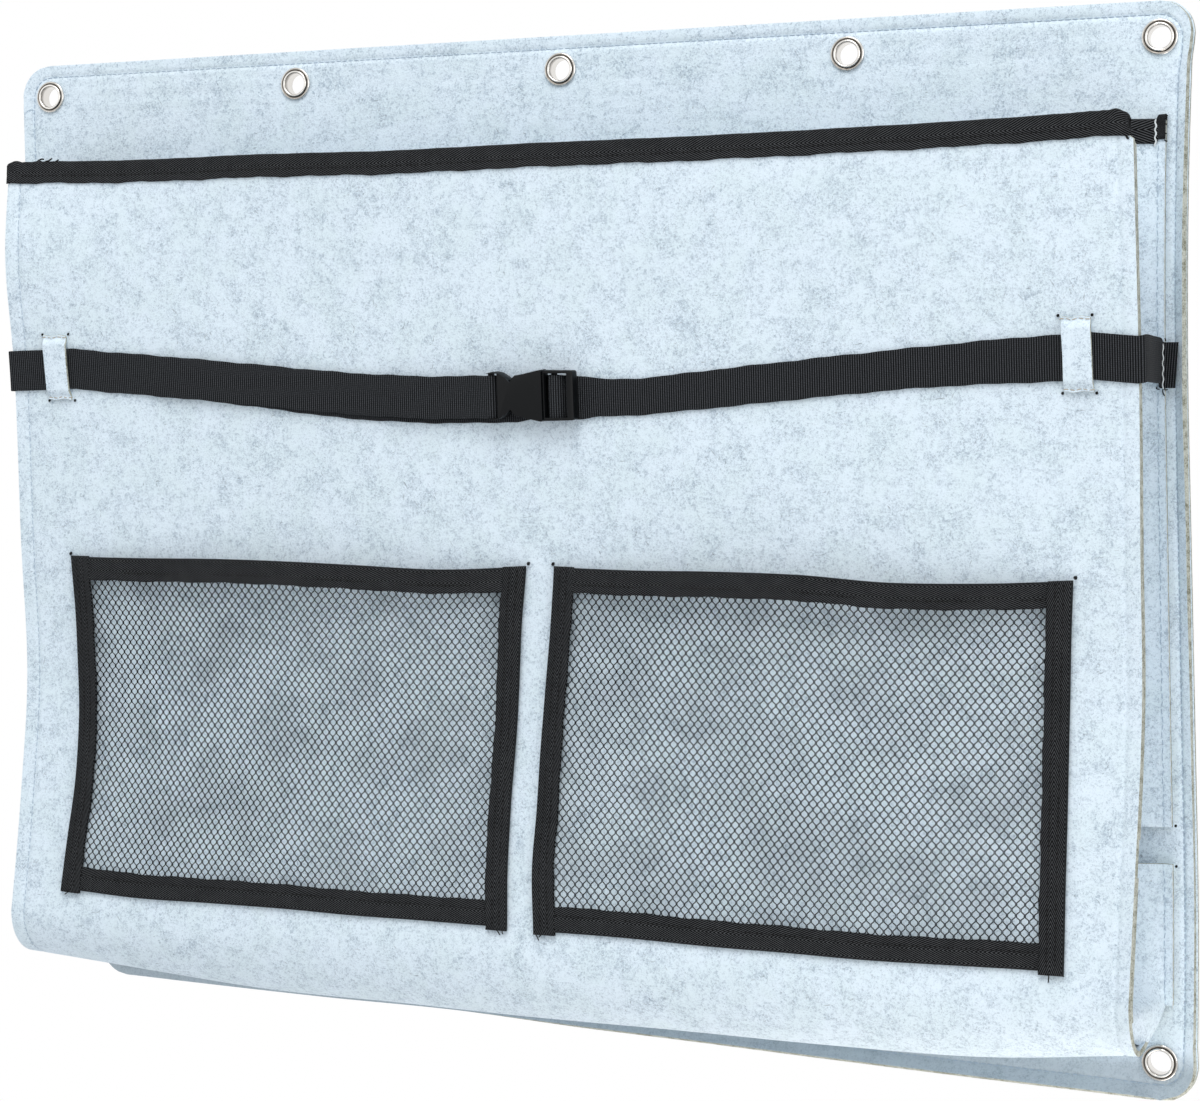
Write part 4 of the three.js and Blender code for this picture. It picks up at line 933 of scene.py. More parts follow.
def painted_net_shadow(finish):
    """Soft patches of painted shadow, the nets' shadow, on the felt behind the two nets, within the pockets'
    tapes.
    """
    x, height = finish.coordinate("X"), finish.coordinate("Z")
    across = x.math("ABSOLUTE", x)
    nearest, farthest = POCKET_SPACE / 2 + NET_SHADOW_MARGIN, POCKET_SPACE / 2 + POCKET_WIDTH - NET_SHADOW_MARGIN
    inside = across.bend(nearest, nearest + NET_SHADOW_SIDE_FADE) * across.bend(farthest, farthest - NET_SHADOW_SIDE_FADE)
    lowest = POCKET_TOP - POCKET_HEIGHT
    inside = inside * height.bend(lowest, lowest + NET_SHADOW_END_FADE)
    inside = inside * height.bend(POCKET_TOP - 0.002, POCKET_TOP - NET_SHADOW_END_FADE)
    patches = finish.noise(finish.place(), 26, 3, 0.55).bend(0.4, 0.72)
    return inside * (patches * 0.3 + 0.05)


# The front sheet's felt, with the nets' shadow painted behind the pockets.
front_finish = felt_finish("pale heathered felt, dusty in the pockets", painted_net_shadow)
front_points, from_side = front_grid()
side_groove = stitched_in(from_side, SIDE_SEAM)
front_piece = link(
    "front_felt",
    cloth_solid("front_felt", front_points, FELT / 2 - side_groove, -FELT / 2),
    "front",
    "felt",
    front_finish,
    cut_edge,
)
bevelled(front_piece, 0.0006)
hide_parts("front_sheet")

front_normals = directions(front_points)


def along_front(x, depth, rows=slice(None)):
    """A path down the front sheet's outer face at one place across, sunk by a depth, and its normals."""
    xs = front_points[0, :, 0]
    i = int(np.clip(np.searchsorted(xs, x), 1, len(xs) - 1))
    share = (x - xs[i - 1]) / (xs[i] - xs[i - 1])
    middle = front_points[rows, i - 1] * (1 - share) + front_points[rows, i] * share
    normal = front_normals[rows, i]
    return middle + normal * (FELT / 2 - depth), normal


for name, side in SIDES:
    seam, outward = along_front(side * (FRONT_WIDTH / 2 - SIDE_SEAM), SEAM_DEPTH * 0.85, slice(1, -14))
    stitches(f"front_seam_{name}", seam, outward, FELT_STITCH, pale_thread, "front", "felt")
hem_row = len(front_points) - 5
hem_out = front_normals[hem_row, 8:-8]
hem = front_points[hem_row, 8:-8] + hem_out * FELT / 2
stitches("front_hem_seam", hem, hem_out, FELT_STITCH, pale_thread, "front", "felt")


# Tape over the pouch's top edge.
# A black herringbone tape, folded over the front sheet's top edge and stitched through near its lower
# edge. Its right end stops a little short of the sheet's corner, and yarns stand loose at both ends.
TAPE_WIDTH = 0.0125
TAPE = 0.0007
TAPE_STITCH = (0.0026, 0.0007, 0.0005)
TWILL_WIDTH = 0.0068
TWILL_PITCH = 0.0024


def tape_finish(name, base, light):
    """Herringbone tape: slanted twill ribs that change direction along the tape's middle, in black yarn, with
    a painted highlight on the ribs' crests.
    """
    finish = Finish(name, {"Roughness": 0.75, "Specular IOR Level": 0.07})
    length, width = finish.along()
    place_across = width * (1 / TWILL_WIDTH)
    slant = place_across.math("PINGPONG", place_across, 1.0) * 0.0135
    ribs = ((length + slant) * (2 * math.pi / TWILL_PITCH)).wave()
    place = finish.place()
    fuzz = finish.noise(place, 1500, 2, 0.6)
    worn = finish.noise(place, 160, 3, 0.6)
    height = (ribs * 0.5 + 0.5) ** 4
    shade = height * (fuzz * 0.9 + worn * 0.5)
    # Painted highlight: the rib crests are painted lighter and the hollows dark, varied by fuzz and real
    # wear.
    finish.set({"Base Color": finish.mix(shade, base, light)})
    finish.bump(height + fuzz * 0.4, 0.0004)
    return finish


binding_tape = tape_finish("black herringbone tape", srgb(5, 6, 8), srgb(116, 119, 122))


def fold_steps(leg, fold, other_leg):
    """Places w round a strip that is folded in half: so many on one leg, on the fold and on the other."""
    stretches = ((0, 0.4, leg), (0.4, 0.6, fold), (0.6, 1, other_leg))
    return np.concatenate([[0]] + [np.linspace(*stretch)[1:] for stretch in stretches])


def folded_at(w):
    """How far round its fold a folded strip is at w, from 0 to pi, and how far down its leg, from 0 to 1."""
    turn = np.clip((w - 0.4) / 0.2, 0, 1) * math.pi
    leg = np.where(w < 0.5, np.clip(1 - w / 0.4, 0, 1), np.clip((w - 0.6) / 0.4, 0, 1))
    return turn, leg


def folded(w, cloth):
    """A tape folded over an edge: from w = 0 at one leg's end over the fold to w = 1 at the other's. It gives
    how far the tape's middle lies off the cloth's middle, and how far below the edge."""
    off = cloth / 2 + GAP + TAPE / 2
    turn, leg = folded_at(w)
    return off * np.cos(turn), np.where(leg > 0, leg * TAPE_WIDTH, -(GAP + TAPE) * np.sin(turn))


TAPE_SEAM = 0.0078
TAPE_SHORT = 0.0032
TAPE_TRIM = 0.6


def front_binding():
    """The tape's grid: along the bag, and round its fold. Its ends are rounded over, its right end most, and
    its stitches sink into it. It also gives how deep each place is sunk."""
    w = fold_steps(17, 12, 13)
    x_end = FRONT_WIDTH / 2 + 0.0008
    right_end = x_end - TAPE_SHORT
    ends = [-x_end, right_end]
    xs = lines(*ends, step=0.0025, fine_step=0.0008, fine_places=ends, reach=0.012)
    off, below = folded(w[None, :], FELT)
    x = xs[:, None]
    to_right = np.clip(right_end - x, 0, None) / 0.0075
    to_left = np.clip(x_end + x, 0, None) / 0.005
    drop = 0.0042 * (1 - np.sqrt(1 - np.clip(1 - to_right, 0, 1) ** 2))
    drop = drop + 0.0020 * (1 - np.sqrt(1 - np.clip(1 - to_left, 0, 1) ** 2))
    plump = 0.5 * np.exp(-(((to_right - 1.0) / 0.9) ** 2)) + 0.35 * np.exp(-(((to_left - 1.0) / 0.9) ** 2))
    share = np.clip(1 - below / TAPE_WIDTH, 0, 1.2)
    ripple = 0.0002 * np.sin(x * 210) + 0.00018 * np.sin(x * 97 + 1) + 0.0001 * np.sin(x * 530)
    by_end = np.exp(-np.minimum(right_end - x, x_end + x) / 0.018)
    lumps = 0.0007 * np.sin(x * 640) * np.sin(x * 271 + 2) * by_end
    z = FRONT_TOP - top_sag(x) - below - drop * share**2
    z = z + ripple * (0.3 + np.clip(below / TAPE_WIDTH, 0, 1)) + lumps * (1 - below / TAPE_WIDTH)
    flat_x = np.broadcast_to(x, z.shape)
    flat_x = flat_x - smooth_through(FRONT_TRIM, 0) * trim_share(flat_x) * TAPE_TRIM
    y = front_face(flat_x, np.minimum(z, FRONT_TOP)) + FELT / 2
    y = y - off * (1 + plump * share) - 0.0008 * plump * share
    points = np.stack([flat_x, y, z], -1)
    uv = uv_grid(xs, w * 2.5 * TAPE_WIDTH)
    sunk = 0.0002 * np.exp(-(((np.broadcast_to(below, z.shape) - TAPE_SEAM) / 0.0007) ** 2))
    return points, uv, sunk


binding_points, binding_uv, binding_sunk = front_binding()
binding = link(
    "front_tape",
    cloth_solid("front_tape", binding_points, TAPE / 2 - binding_sunk, -TAPE / 2, uv=binding_uv),
    "front",
    "binding_tape",
    binding_tape,
    binding_tape,
)
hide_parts("front_top_binding")
seam_x = np.arange(-FRONT_WIDTH / 2 + 0.002, FRONT_WIDTH / 2 - 0.006, PATH_STEP)
seam_z = FRONT_TOP - TAPE_SEAM - top_sag(seam_x)
seam = np.stack([seam_x, front_face(seam_x, seam_z) - GAP - TAPE + 0.00015, seam_z], 1)
stitches("front_tape_seam", seam, TO_FRONT, TAPE_STITCH, black_thread, "front", "binding_tape")
fray_x = np.array([-0.3375, -0.335, -0.331, -0.324, -0.354, 0.3505])
fray_z = FRONT_TOP - top_sag(fray_x) + np.array([0.0006, 0.0008, 0.0006, 0.0004, -0.012, -0.0125])
thread_ends(
    "front_tape_frays",
    on_front(fray_x, fray_z, -FELT / 2 + np.array([0, 0, 0, 0, 0.002, 0.002])),
    [(1, 0, 0.25), (0.7, 0, 0.35), (1, 0, 0.1), (1, 0.2, 0.1), (-0.8, 0, -0.5), (0.5, 0, -0.9)],
    [0.007, 0.004, 0.009, 0.006, 0.003, 0.003],
    0.0011, black_thread, "front", "binding_tape", 11,
)


# Side gussets.
# Each side of the pouch is a strip of the same felt, folded inward like a bellows and cut in two by a slot.
# Its front edge is stitched behind the front sheet, and its back edge lies flat on the panel and is stitched.
FRONT_FLANGE = 0.009
BACK_FLANGE = 0.0055
BACK_SEAM = PANEL_WIDTH / 2 - 0.0185
GUSSET_CUT = 0.140
FLANGE_SHARE = 2 / 14
FOLD_SOFTNESS = 0.4
SLOT_BOTTOM = PANEL_BOTTOM + 0.129
SLOT_TOP = SLOT_BOTTOM + 0.020
GUSSET_REACH = 0.010
GUSSET_OPENING = 0.060
BACK_STITCH = (0.0036, 0.0006, 0.0006)
WHIP_STITCH = (0.0042, 0.0012, 0.0005)
TAPE_START = 3 / 14
FRONT_SEAM = FRONT_WIDTH / 2 - FRONT_FLANGE


def roll_back(x, z):
    """How far the front has turned back at a height: a quarter ellipse below where its lower edge rounds."""
    share = np.clip((ROLL_TOP - z) / (ROLL_TOP - pouch_bottom(x)), 0, 1)
    return ROLL_DEPTH * (1 - np.sqrt(1 - share * share))


def seam_gap(z):
    """How far the gusset's flanges lie off their neighbours: most at the top, where tape lies between."""
    share = np.clip((FRONT_TOP - z) / (FRONT_TOP - SLOT_TOP), 0, 1)
    return (3 * GAP + TAPE) * (1 - share) + SEAT * share


def gusset_middle(side, s, z):
    """The middle of the gusset's felt. s runs from its raw edge under the front sheet in to the fold and out
    to the back edge. The fold is a hyperbola whose depth keeps the strip's cut width."""
    step = 0.0005
    seam_x = side * FRONT_SEAM + 0 * z
    steep = np.hypot(1, (roll_back(seam_x, z - step) - roll_back(seam_x, z + step)) / (2 * step))
    in_front = (FELT * 1.5 + seam_gap(z)) * steep

    def on_front(x):
        return front_face(side * x, z) + roll_back(side * x, z) + in_front

    def on_panel(x):
        return panel_front(side * x, z) - seam_gap(z) - FELT / 2

    first = FRONT_WIDTH / 2 - FRONT_FLANGE * s / FLANGE_SHARE
    last = BACK_SEAM + BACK_FLANGE * (s - 1 + FLANGE_SHARE) / FLANGE_SHARE
    t = np.clip((s - FLANGE_SHARE) / (1 - 2 * FLANGE_SHARE), 0, 1)
    front_y = on_front(np.full_like(z, FRONT_SEAM))
    depth = on_panel(np.full_like(z, BACK_SEAM)) - front_y
    opened = np.clip((z - ROLL_TOP + GUSSET_REACH) / GUSSET_OPENING, 0, 1)
    dip = np.sin(opened * math.pi / 2) * np.sqrt((GUSSET_CUT / 2) ** 2 - (depth / 2) ** 2)
    soft = math.hypot(1, FOLD_SOFTNESS)
    inward = (soft - np.hypot(2 * t - 1, FOLD_SOFTNESS)) / (soft - FOLD_SOFTNESS)
    x = FRONT_SEAM + (BACK_SEAM - FRONT_SEAM) * t - dip * inward
    y = front_y + depth * t
    in_first, in_last = s < FLANGE_SHARE, s > 1 - FLANGE_SHARE
    x = np.where(in_first, first, np.where(in_last, last, x))
    y = np.where(in_first, on_front(first), np.where(in_last, on_panel(last), y))
    if side == 1:
        x = x - t**2 * border_bow(x, z) - (1 - t) ** 2 * front_trim(x, z)
    return np.stack([side * x, y, z], -1)


def gusset_end(side, s):
    """The lower edge of the lower gusset, just above the inside of the pouch's bottom."""
    start = np.full_like(s, ROLL_TOP - GUSSET_REACH)
    seam_x = np.full_like(s, side * FRONT_SEAM)
    inside = gusset_middle(side, s, start)[..., 1] - front_face(seam_x, start) - FELT
    share = np.maximum(0, 1 - (inside - FELT) / (ROLL_DEPTH - FELT))
    to_panel = np.clip((inside - ROLL_DEPTH) / (inside.max() - ROLL_DEPTH), 0, 1)
    rise = (pouch_seam(seam_x) - pouch_bottom(seam_x)) * to_panel**1.8
    floor_z = pouch_bottom(seam_x) + FELT + rise
    curved = ROLL_TOP - (ROLL_TOP - floor_z) * np.sqrt(1 - np.minimum(share, 1) ** 2)
    return np.minimum(start, curved + 0.001)


def gusset_follows(piece, side):
    """Bakes the piece's transform into its mesh, the same on both sides."""
    if side == 1:
        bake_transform(piece)
    else:
        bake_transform(piece)


seam_thread = Finish("white seam thread", {"Base Color": srgb(214, 220, 222), "Roughness": 0.6})
gusset_spans = ((0, FLANGE_SHARE, 7), (FLANGE_SHARE, 1 - FLANGE_SHARE, 49), (1 - FLANGE_SHARE, 1, 7))
GUSSET_STEPS = np.unique(np.concatenate([np.linspace(*span) for span in gusset_spans]))


def gusset_top(s):
    """The gusset's top edge, which sags with the front sheet's at its front."""
    return FRONT_TOP - 0.0022 * (1 - s)


def gusset_piece(name, part, side, top, bottom, rows):
    """One of a gusset's two pieces: rows of felt between two edges, whose heights are functions of s."""
    s = np.broadcast_to(GUSSET_STEPS[None, :], (rows, len(GUSSET_STEPS)))
    v = np.linspace(0, 1, rows)[:, None]
    z = bottom(GUSSET_STEPS)[None, :] * (1 - v) + top(GUSSET_STEPS)[None, :] * v
    label = f"side_{name}_{part}"
    mesh = cloth_solid(label, gusset_middle(side, s, z)[::-side], FELT / 2, -FELT / 2)
    piece = link(label, mesh, None, "felt", felt, cut_edge)
    bevelled(piece, 0.0005)
    gusset_follows(piece, side)
    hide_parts(f"gusset_{name}_{part}")


def gusset_seams(name, side):
    """The gusset's back edge is sewn down along the panel, white stitches whip its raw edge, and a black knot
    sits at each end of the slot."""
    for part, low, high in (
        ("lower", PANEL_BOTTOM + 0.05, SLOT_BOTTOM - 0.002),
        ("upper", SLOT_TOP + 0.002, FRONT_TOP - TAPE_WIDTH),
    ):
        label = f"side_{name}_{part}"
        seam_z = np.arange(low, high, PATH_STEP)
        seam = gusset_middle(side, np.full_like(seam_z, 1 - FLANGE_SHARE * 0.8), seam_z)
        seam[:, 0] += 0.0003 * np.sin(seam_z * 500)
        seam[:, 1] -= FELT / 2 - 0.0001
        stitches(f"{label}_seam", seam, TO_FRONT, BACK_STITCH, pale_thread, "panel", "felt")
        seam = gusset_middle(side, np.full_like(seam_z, 0.994), seam_z)
        seam[:, 1] -= FELT / 2
        stitches(f"{label}_edge_seam", seam, TO_FRONT, WHIP_STITCH, seam_thread, "panel", "felt", 0.0004)
    slot_ends = np.array([SLOT_BOTTOM - 0.001, SLOT_TOP + 0.001])
    places = gusset_middle(side, np.full(2, 1.0), slot_ends) - np.array([0, FELT / 2, 0])
    places = places + np.array([side * 0.002, 0.0005, 0])
    knots(f"side_{name}_knots", places, 0.0019, black_thread, "panel", "felt")


def gusset_tape(name, side):
    """The tape over the gusset's top edge, from near the front sheet round the fold to the back edge. Where
    it is sewn to the panel a white thread crosses it, and past that its end stands higher."""
    s = np.linspace(TAPE_START, 1, 90)[:, None]
    w = fold_steps(7, 9, 7)
    off, below = folded(w[None, :], FELT)
    z = gusset_top(s) - np.maximum(0, below)
    s_all = np.broadcast_to(s, z.shape)
    after = gusset_middle(side, np.minimum(1, s_all + 1e-3), z)
    ahead = after - gusset_middle(side, np.maximum(0, s_all - 1e-3), z)
    across = unit(np.stack([ahead[..., 1], -ahead[..., 0], 0 * z], -1))
    points = gusset_middle(side, s_all, z) + across * (off * side)[..., None]
    raised_end = 0.0022 * np.clip((s - 1 + FLANGE_SHARE) / 0.03, 0, 1)
    points[..., 2] = gusset_top(s) - below + raised_end
    uv = uv_grid(s[:, 0] * 0.15, w * 2 * TAPE_WIDTH * 1.1)
    label = f"gusset_{name}_tape"
    mesh = cloth_solid(label, points[::-side], TAPE / 2, -TAPE / 2, uv=uv[::-side])
    piece = link(label, mesh, None, "binding_tape", binding_tape, binding_tape)
    gusset_follows(piece, side)
    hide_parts(f"gusset_{name}_binding")
    thread_z = np.linspace(FRONT_TOP + 0.0005, FRONT_TOP - TAPE_WIDTH - 0.002, 26)
    thread = gusset_middle(side, np.full_like(thread_z, 1 - FLANGE_SHARE), thread_z)
    thread[:, 0] += 0.0004 * np.sin(thread_z * 1500) - side * 0.0005
    thread[:, 1] -= FELT / 2 + GAP + TAPE + 0.0001
    thread_tubes(f"gusset_{name}_seam", thread[None], 0.0012, seam_thread, "panel", "binding_tape")
    corner_z = FRONT_TOP + 0.0018 - np.array([0, 0.0015, 0.004, 0.009, 0.0125])
    corner = gusset_middle(side, np.full(5, 1.0), corner_z)
    corner -= np.array([side * 0.0006, FELT / 2 + GAP + TAPE / 2, 0])
    headings = np.array([(0.6, 0, 0.8), (1, 0, 0.3), (1, -0.2, -0.1), (1, 0, -0.1), (0.9, 0, -0.5)])
    thread_ends(
        f"gusset_{name}_frays",
        corner,
        headings * np.array([side, 1, 1]),
        [0.0028, 0.002, 0.0016, 0.0014, 0.0022],
        0.0007, black_thread, "panel", "binding_tape", 23,
    )


for name, side in SIDES:
    gusset_piece(name, "upper", side, gusset_top, lambda s: s * 0 + SLOT_TOP, 70)
    gusset_piece(
        name, "lower", side, lambda s: s * 0 + SLOT_BOTTOM, lambda s: gusset_end(side, s), 34
    )
    gusset_seams(name, side)
    gusset_tape(name, side)


# Mesh pockets.
# Two nets of knitted black yarn with six-sided holes. Each is edged with folded tape: the top and bottom
# tapes first, then the side tapes over their ends. The sides and bottom are sewn to the front sheet.
POCKET_BULGE = 0.011
POCKET_TAPE = 0.0018
POCKET_TAPE_WIDTH = {"top": 0.014, "bottom": 0.014, "left": 0.0134, "right": 0.0134}
POCKET_LEFT_EDGE = {
    -1: np.array([-1.0, -0.2, 0.2, 1.6, 1.9, -0.8, -2.7]) / 1000,
    1: np.array([3.5, 0.2, -3.3, -5.3, -6.2, -7.0, -3.8]) / 1000,
}
POCKET_RIGHT_EDGE = {
    -1: np.array([5.3, 1.1, -0.8, -2.0, -3.5, -3.2, -1.0]) / 1000,
    1: np.array([2.2, 0.3, -0.7, -0.9, -0.9, -0.9, -0.6]) / 1000,
}
POCKET_TOP_SAG = {
    -1: np.array([-0.6, -0.6, -1.2, -0.7, 0.8, 2.4, 0.0]) / 1000,
    1: np.array([0.0, 0.5, 0.0, 0.7, 3.9, 3.6, 1.4]) / 1000,
}
POCKET_BOTTOM_SAG = {
    -1: np.array([0.4, 2.9, 2.6, 2.4, 3.0, 2.6, 2.6]) / 1000,
    1: np.array([3.4, 3.2, 4.1, 4.1, 4.4, 3.4, 2.5]) / 1000,
}
NET_YARN = 0.00067
NET_PITCH = 0.0024
NET_PERIOD = 0.0059
net_yarn = Finish(
    "knitted net yarn", {"Base Color": srgb(16, 19, 23), "Roughness": 0.7, "Specular IOR Level": 0.12}
)


def pocket_place(side, from_left, down, out):
    """A place on a pocket: metres from its left edge, down from its top, and out from the net's rear face.
    The net stands off most at the middle of its mouth. Hand sewing leaves the four edges uneven, and a place
    inside shares the shifts of the edges on both sides of it."""
    left = -POCKET_WIDTH - POCKET_SPACE / 2 if side < 0 else POCKET_SPACE / 2
    across = np.clip(from_left / POCKET_WIDTH, 0, 1)
    lower = np.clip(down / POCKET_HEIGHT, 0, 1)
    at_left, at_right = (smooth_through(edge[side], lower) for edge in (POCKET_LEFT_EDGE, POCKET_RIGHT_EDGE))
    at_top, at_bottom = (smooth_through(edge[side], across) for edge in (POCKET_TOP_SAG, POCKET_BOTTOM_SAG))
    x = left + from_left + at_left * (1 - across) + at_right * across
    z = POCKET_TOP - down - at_top * (1 - lower) - at_bottom * lower
    stand = SEAT + POCKET_BULGE * np.sin(math.pi * across) ** 0.8 * (1 - lower) ** 0.7
    return on_front(x, z, stand + out)


def pocket_net(name, side):
    """The net's yarns as three-sided tubes. Each runs down in a zigzag whose corners are cut, and its
    neighbours mirror it, so that they touch and leave six-sided holes."""
    inset = TAPE_WIDTH * 0.75
    width = POCKET_WIDTH - 2 * inset
    count = int(width / NET_PITCH)
    pitch = width / count
    corners = np.array([0.0, 0.13, 0.37, 0.63, 0.87])
    swing = np.array([1.0, 1.0, -1.0, -1.0, 1.0])
    height = POCKET_HEIGHT - 2 * inset
    periods = int(height / NET_PERIOD)
    t = (np.arange(periods)[:, None] + corners[None, :]).ravel()
    bend = np.tile(swing, periods)
    down = inset + t / periods * height
    k = np.arange(count)[:, None]
    sway = np.where(k % 2 == 0, 1, -1) * bend[None, :] * (pitch - NET_YARN) / 2
    stretch = 0.0004 * np.sin(down * 40 + k * 0.07)
    from_left = inset + (k + 0.5) * pitch + sway + stretch
    down = np.broadcast_to(down[None, :], from_left.shape) + 0.0003 * np.sin(k * 0.21)
    middle = pocket_place(side, from_left, down, POCKET_TAPE / 2 + 0.0001 * bend[None, :])
    ahead = unit(np.gradient(middle, axis=1))
    out = unit(np.array(TO_FRONT) + ahead * ahead[..., 1:2])
    turn = np.array([0, 2, 4]) / 6 * 2 * math.pi + math.pi / 2
    points = middle[:, :, None] + rings(np.cross(ahead, out) * 1.1, out, turn) * NET_YARN / 2
    number, walls = tubes(points)
    none = np.full((count, 1), -1)
    caps = [np.concatenate([end, none], 1) for end in (number[:, 0][:, ::-1], number[:, -1])]
    return mesh_from(name, points.reshape(-1, 3), np.concatenate([walls] + caps))


NET_ROOM = 0.00065
EDGE_TAPE = 0.0005
POCKET_SEAMS = {"top": (0.0092,), "bottom": (0.0092,), "left": (0.0045, 0.0091), "right": (0.0045, 0.0091)}


def along_edge(side, edge, along, inside, out):
    """A place on a pocket at an edge: how far along it, how far inside it, and out from the net."""
    if edge in ("top", "bottom"):
        return pocket_place(side, along, inside if edge == "top" else POCKET_HEIGHT - inside, out)
    return pocket_place(side, inside if edge == "left" else POCKET_WIDTH - inside, along, out)


def pocket_tape(name, side, edge, first, last, lift):
    """Tape folded in half over one edge of a net. It runs from first to last along that edge: a leg in front,
    a round fold at the outer edge and a leg behind. Its edges wave a little and the stitches sink into it."""
    length = last - first
    width = POCKET_TAPE_WIDTH[edge]
    a = np.linspace(0, 1, max(40, int(length / 0.002)))
    steps = fold_steps(13, 9, 7)
    if edge in ("bottom", "left"):
        a = a[::-1]
    along, w = np.meshgrid(first + a * length, steps, indexing="ij")
    turn, leg = folded_at(w)
    below = leg * (width - NET_ROOM) + NET_ROOM * (1 - np.sin(turn))
    phase = {"top": 0.3, "bottom": 1.9, "left": 3.1, "right": 4.4}[edge] + side
    wave = 0.00022 * np.sin(along * 160 + phase) + 0.00015 * np.sin(along * 390 + 2 * phase)
    below = below + wave * leg
    ripple = 0.0005 * np.sin(along * 95 + phase) * (1 if edge == "top" else 0.3)
    out = POCKET_TAPE / 2 + NET_ROOM * np.cos(turn) + np.maximum(ripple, -0.0002) + lift
    points = along_edge(side, edge, along, below, out)
    sunk = sum(np.exp(-(((below - at) / 0.0006) ** 2)) for at in POCKET_SEAMS[edge]) * (w < 0.45)
    uv = np.stack([along, w * 2.6 * width], -1)
    return cloth_solid(name, points, EDGE_TAPE / 2 - 0.0002 * sunk, -EDGE_TAPE / 2, uv=uv)


for name, side in SIDES:
    net = link(f"mesh_{name}", pocket_net(f"mesh_{name}", side), "front", "net", net_yarn)
    # The net's yarns are finer than the soft shadow they would cast.
    net.visible_shadow = False
    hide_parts(f"pocket_{name}_net")
    inner = TAPE_WIDTH - 0.004
    for edge, first, last, lift in (
        ("top", inner, POCKET_WIDTH - inner, 0),
        ("bottom", inner, POCKET_WIDTH - inner, 0),
        ("left", -0.0008, POCKET_HEIGHT + 0.0020, 0.0006),
        ("right", -0.0006, POCKET_HEIGHT + 0.0022, 0.0006),
    ):
        label = f"mesh_{name}_{edge}"
        mesh = pocket_tape(f"{label}_tape", side, edge, first, last, lift)
        strip = link(f"{label}_tape", mesh, "front", "pocket_tape", binding_tape, binding_tape)
        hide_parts(f"pocket_{name}_tape_{edge}")
        along = np.arange(first + 0.001, last - 0.001, PATH_STEP)
        surface = POCKET_TAPE / 2 + NET_ROOM + EDGE_TAPE / 2 + lift
        for i, inside in enumerate(POCKET_SEAMS[edge]):
            seam = along_edge(side, edge, along, np.full_like(along, inside), surface - 0.0001)
            row = f"{label}_seam_{i + 1}"
            stitches(row, seam, TO_FRONT, TAPE_STITCH, black_thread, "front", "pocket_tape")
    far = POCKET_WIDTH
    corner_x = np.array([-0.0012, far + 0.0012, 0.001, far - 0.003, 0.006, far - 0.008])
    corner_down = np.array([-0.0019, -0.0019] + [POCKET_HEIGHT] * 4)
    corners = pocket_place(side, corner_x, corner_down, np.array([0, 0] + [0.002] * 4))
    knots(f"mesh_{name}_knots", corners[:2], 0.0026, black_thread, "front", "pocket_tape")
    thread_ends(
        f"mesh_{name}_frays",
        corners[2:],
        [(0.1, 0, -1), (0.3, 0, -1), (-0.1, 0, -1), (0.2, 0, -1)],
        [0.006, 0.0045, 0.005, 0.0065],
        0.0007, black_thread, "front", "pocket_tape", 31 + side,
    )


# Strap.
# Black webbing, 25 mm wide, that closes the pouch over its front. The left piece laps round the buckle's
# socket. The right piece weaves through the plug and ends free behind the socket. The stretches round the
# bag's sides are sewn to the panel.
STRAP_WIDTH = 0.025
WEBBING = 0.0012
STRAP_LINE = PANEL_TOP - 0.197
STRAP_SAG = 0.0175
KEEPER_X = FRONT_WIDTH / 2 - 0.033
SOCKET_LENGTH = 0.035
SOCKET_X = -0.005
PLUG_LENGTH = 0.0195
SOCKET_END = SOCKET_X - SOCKET_LENGTH / 2
MOUTH_X = SOCKET_X + SOCKET_LENGTH / 2
BUCKLE_THICKNESS = 0.0086
TAIL_OUT = SEAT + WEBBING / 2
LAP_OUT = TAIL_OUT + WEBBING + GAP
COVER_OUT = LAP_OUT + WEBBING + GAP
BUCKLE_OUT = SEAT + WEBBING + GAP + BUCKLE_THICKNESS / 2
RIB_PITCH = 0.00138
WARP_PITCH = 0.0011


def webbing_finish():
    """Ribbed polypropylene webbing: weft ribs across it, and warp yarns that pass over and under them, with a
    painted highlight on the raised ribs.
    """
    finish = Finish("black ribbed webbing", {"Roughness": 0.75, "Specular IOR Level": 0.08})
    length, width = finish.along()
    rib = (length * (2 * math.pi / RIB_PITCH)).wave() * 0.5 + 0.5
    warp = (width * (2 * math.pi / WARP_PITCH)).wave() * 0.5 + 0.5
    place = finish.place()
    fuzz = finish.noise(place, 2200, 2, 0.6)
    shade = rib**2 * (warp * 0.35 + fuzz * 1.1)
    # Painted highlight: raised ribs and warp yarns are painted lighter, the hollows dark, varied by fuzz.
    finish.set({"Base Color": finish.mix(shade, srgb(7, 9, 11), srgb(83, 86, 90))})
    finish.bump(rib * 0.8 + warp * 0.35 + fuzz * 0.2, 0.0004)
    return finish


webbing = webbing_finish()
STRAP_SPAN = 0.72
STRAP_SHIFT = np.array([0, 1.2, 2.5, 1.9, -0.2, -1.3, -0.4, -1.5, 2.2, 5.1, 6.0, 3.9, -1.4]) / 1000
STRAP_NARROWING = np.array([1, 1, 1, 1, 1, 1, 0.98, 0.84, 0.86, 0.87, 0.89, 0.98, 1])
WHOLE_WIDTH_X = 0.012
WHOLE_WIDTH_REACH = 0.028


def strap_shift(x):
    """How far the strap is pulled up from its even curve."""
    return smooth_through(STRAP_SHIFT, x / STRAP_SPAN + 0.5)


def strap_width(x):
    """The strap's width: it keeps its whole width in the buckle and is drawn in beside it."""
    in_buckle = np.exp(-(((x - WHOLE_WIDTH_X) / WHOLE_WIDTH_REACH) ** 8))
    narrowed = smooth_through(STRAP_NARROWING, x / STRAP_SPAN + 0.5)
    return STRAP_WIDTH * (narrowed + (1 - narrowed) * in_buckle)


